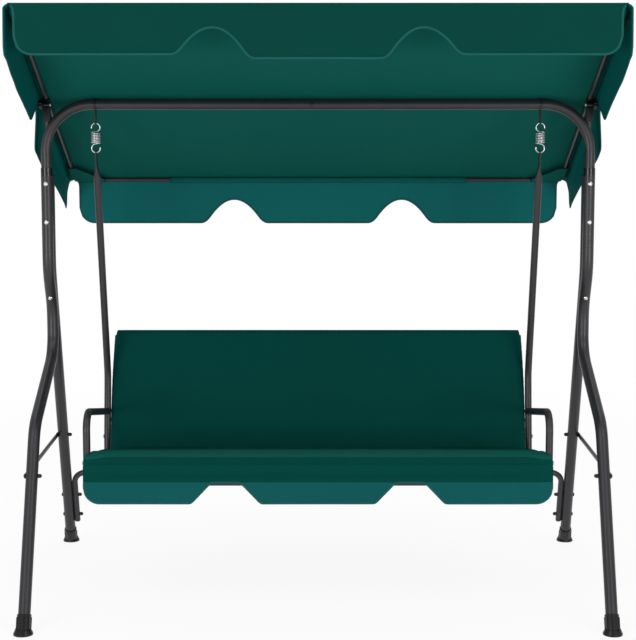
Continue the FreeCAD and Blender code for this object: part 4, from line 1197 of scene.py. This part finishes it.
# %% Floor
def pale_stage(name, glow, near, far):
    """White floor that keeps the shadow near the bench and turns into the white background far off."""
    material, tree, shader = new_material(name)
    shader.inputs["Base Color"].default_value = (0.92, 0.92, 0.92, 1.0)
    shader.inputs["Roughness"].default_value = 0.9
    white = add_node(tree, "ShaderNodeEmission")
    path = add_node(tree, "ShaderNodeLightPath")
    seen = math_node(tree, "MAXIMUM", path.outputs["Is Camera Ray"],
                     path.outputs["Is Glossy Ray"])
    place = add_node(tree, "ShaderNodeNewGeometry")
    distance = add_node(tree, "ShaderNodeVectorMath", operation="LENGTH")
    tree.links.new(place.outputs["Position"], distance.inputs[0])
    fade = add_node(tree, "ShaderNodeMapRange", interpolation_type="SMOOTHSTEP")
    fade_range = {"From Min": near, "From Max": far, "To Min": glow, "To Max": 1.0}
    for socket_name, value in fade_range.items():
        fade.inputs[socket_name].default_value = value
    tree.links.new(distance.outputs["Value"], fade.inputs["Value"])
    share = math_node(tree, "MULTIPLY", seen, fade.outputs["Result"])
    mix = add_node(tree, "ShaderNodeMixShader")
    tree.links.new(share, mix.inputs[0])
    tree.links.new(shader.outputs[0], mix.inputs[1])
    tree.links.new(white.outputs[0], mix.inputs[2])
    tree.links.new(mix.outputs[0], tree.nodes["Material Output"].inputs["Surface"])
    return material


floor_half = 30.0
bm = bmesh.new()
bmesh.ops.create_grid(bm, x_segments=2, y_segments=2, size=floor_half)
floor = new_object("floor", bm)
floor.data.materials.append(pale_stage("pale floor", glow=0.89, near=1.2, far=5.0))
print("floor: %.0f m wide" % (2 * floor_half))

# %% World
world = bpy.data.worlds.new("studio")
bpy.context.scene.world = world
world.use_nodes = True
sky = world.node_tree
background = sky.nodes["Background"]
path = add_node(sky, "ShaderNodeLightPath")
seen = math_node(sky, "MAXIMUM", path.outputs["Is Camera Ray"], path.outputs["Is Transmission Ray"])
world_level = 0.55
extra = math_node(sky, "MULTIPLY", seen, 1.0 - world_level)
sky.links.new(math_node(sky, "ADD", extra, world_level), background.inputs["Strength"])
background.inputs["Color"].default_value = (1.0, 1.0, 1.0, 1.0)
print("world light:", world_level)


# %% Lamps
def softbox(name, place, target, width, height, power):
    """Rectangular lamp that faces its target."""
    lamp = bpy.data.lights.new(name, "AREA")
    lamp.shape = "RECTANGLE"
    lamp.size = width
    lamp.size_y = height
    lamp.energy = power
    stand = bpy.data.objects.new(name, lamp)
    stand.location = place
    stand.rotation_euler = (Vector(target) - Vector(place)).to_track_quat("-Z", "Y").to_euler()
    bpy.context.scene.collection.objects.link(stand)


for side, label in ((-1, "left"), (1, "right")):
    softbox("high %s box" % label, (side * 2.4, -3.4, 4.0), (0, -0.2, 0.7),
            width=1.8, height=2.4, power=44.0)
    softbox("low %s box" % label, (side * 2.8, -4.1, 0.8), (0, 0.1, 1.2),
            width=1.4, height=0.9, power=54.0)
softbox("top box", (0, 0.4, 4.2), (0, 0, 0.8), width=3.6, height=2.6, power=60.0)
print("lamps:", len(bpy.data.lights))

# %% Camera
image_height = 640
focal_pixels = 1489.8
camera_place = (0.0, -4.590, 1.329)
camera_pitch = 0.1076
lens = bpy.data.cameras.new("photograph camera")
lens.sensor_fit = "VERTICAL"
lens.sensor_height = 36.0
lens.lens = focal_pixels * lens.sensor_height / image_height
camera = bpy.data.objects.new("photograph camera", lens)
camera.location = camera_place
camera.rotation_euler = (math.pi / 2 - camera_pitch, 0, 0)
bpy.context.scene.collection.objects.link(camera)
bpy.context.scene.camera = camera
bpy.context.scene.view_settings.view_transform = "Standard"
print("lens: %.1f mm" % lens.lens)
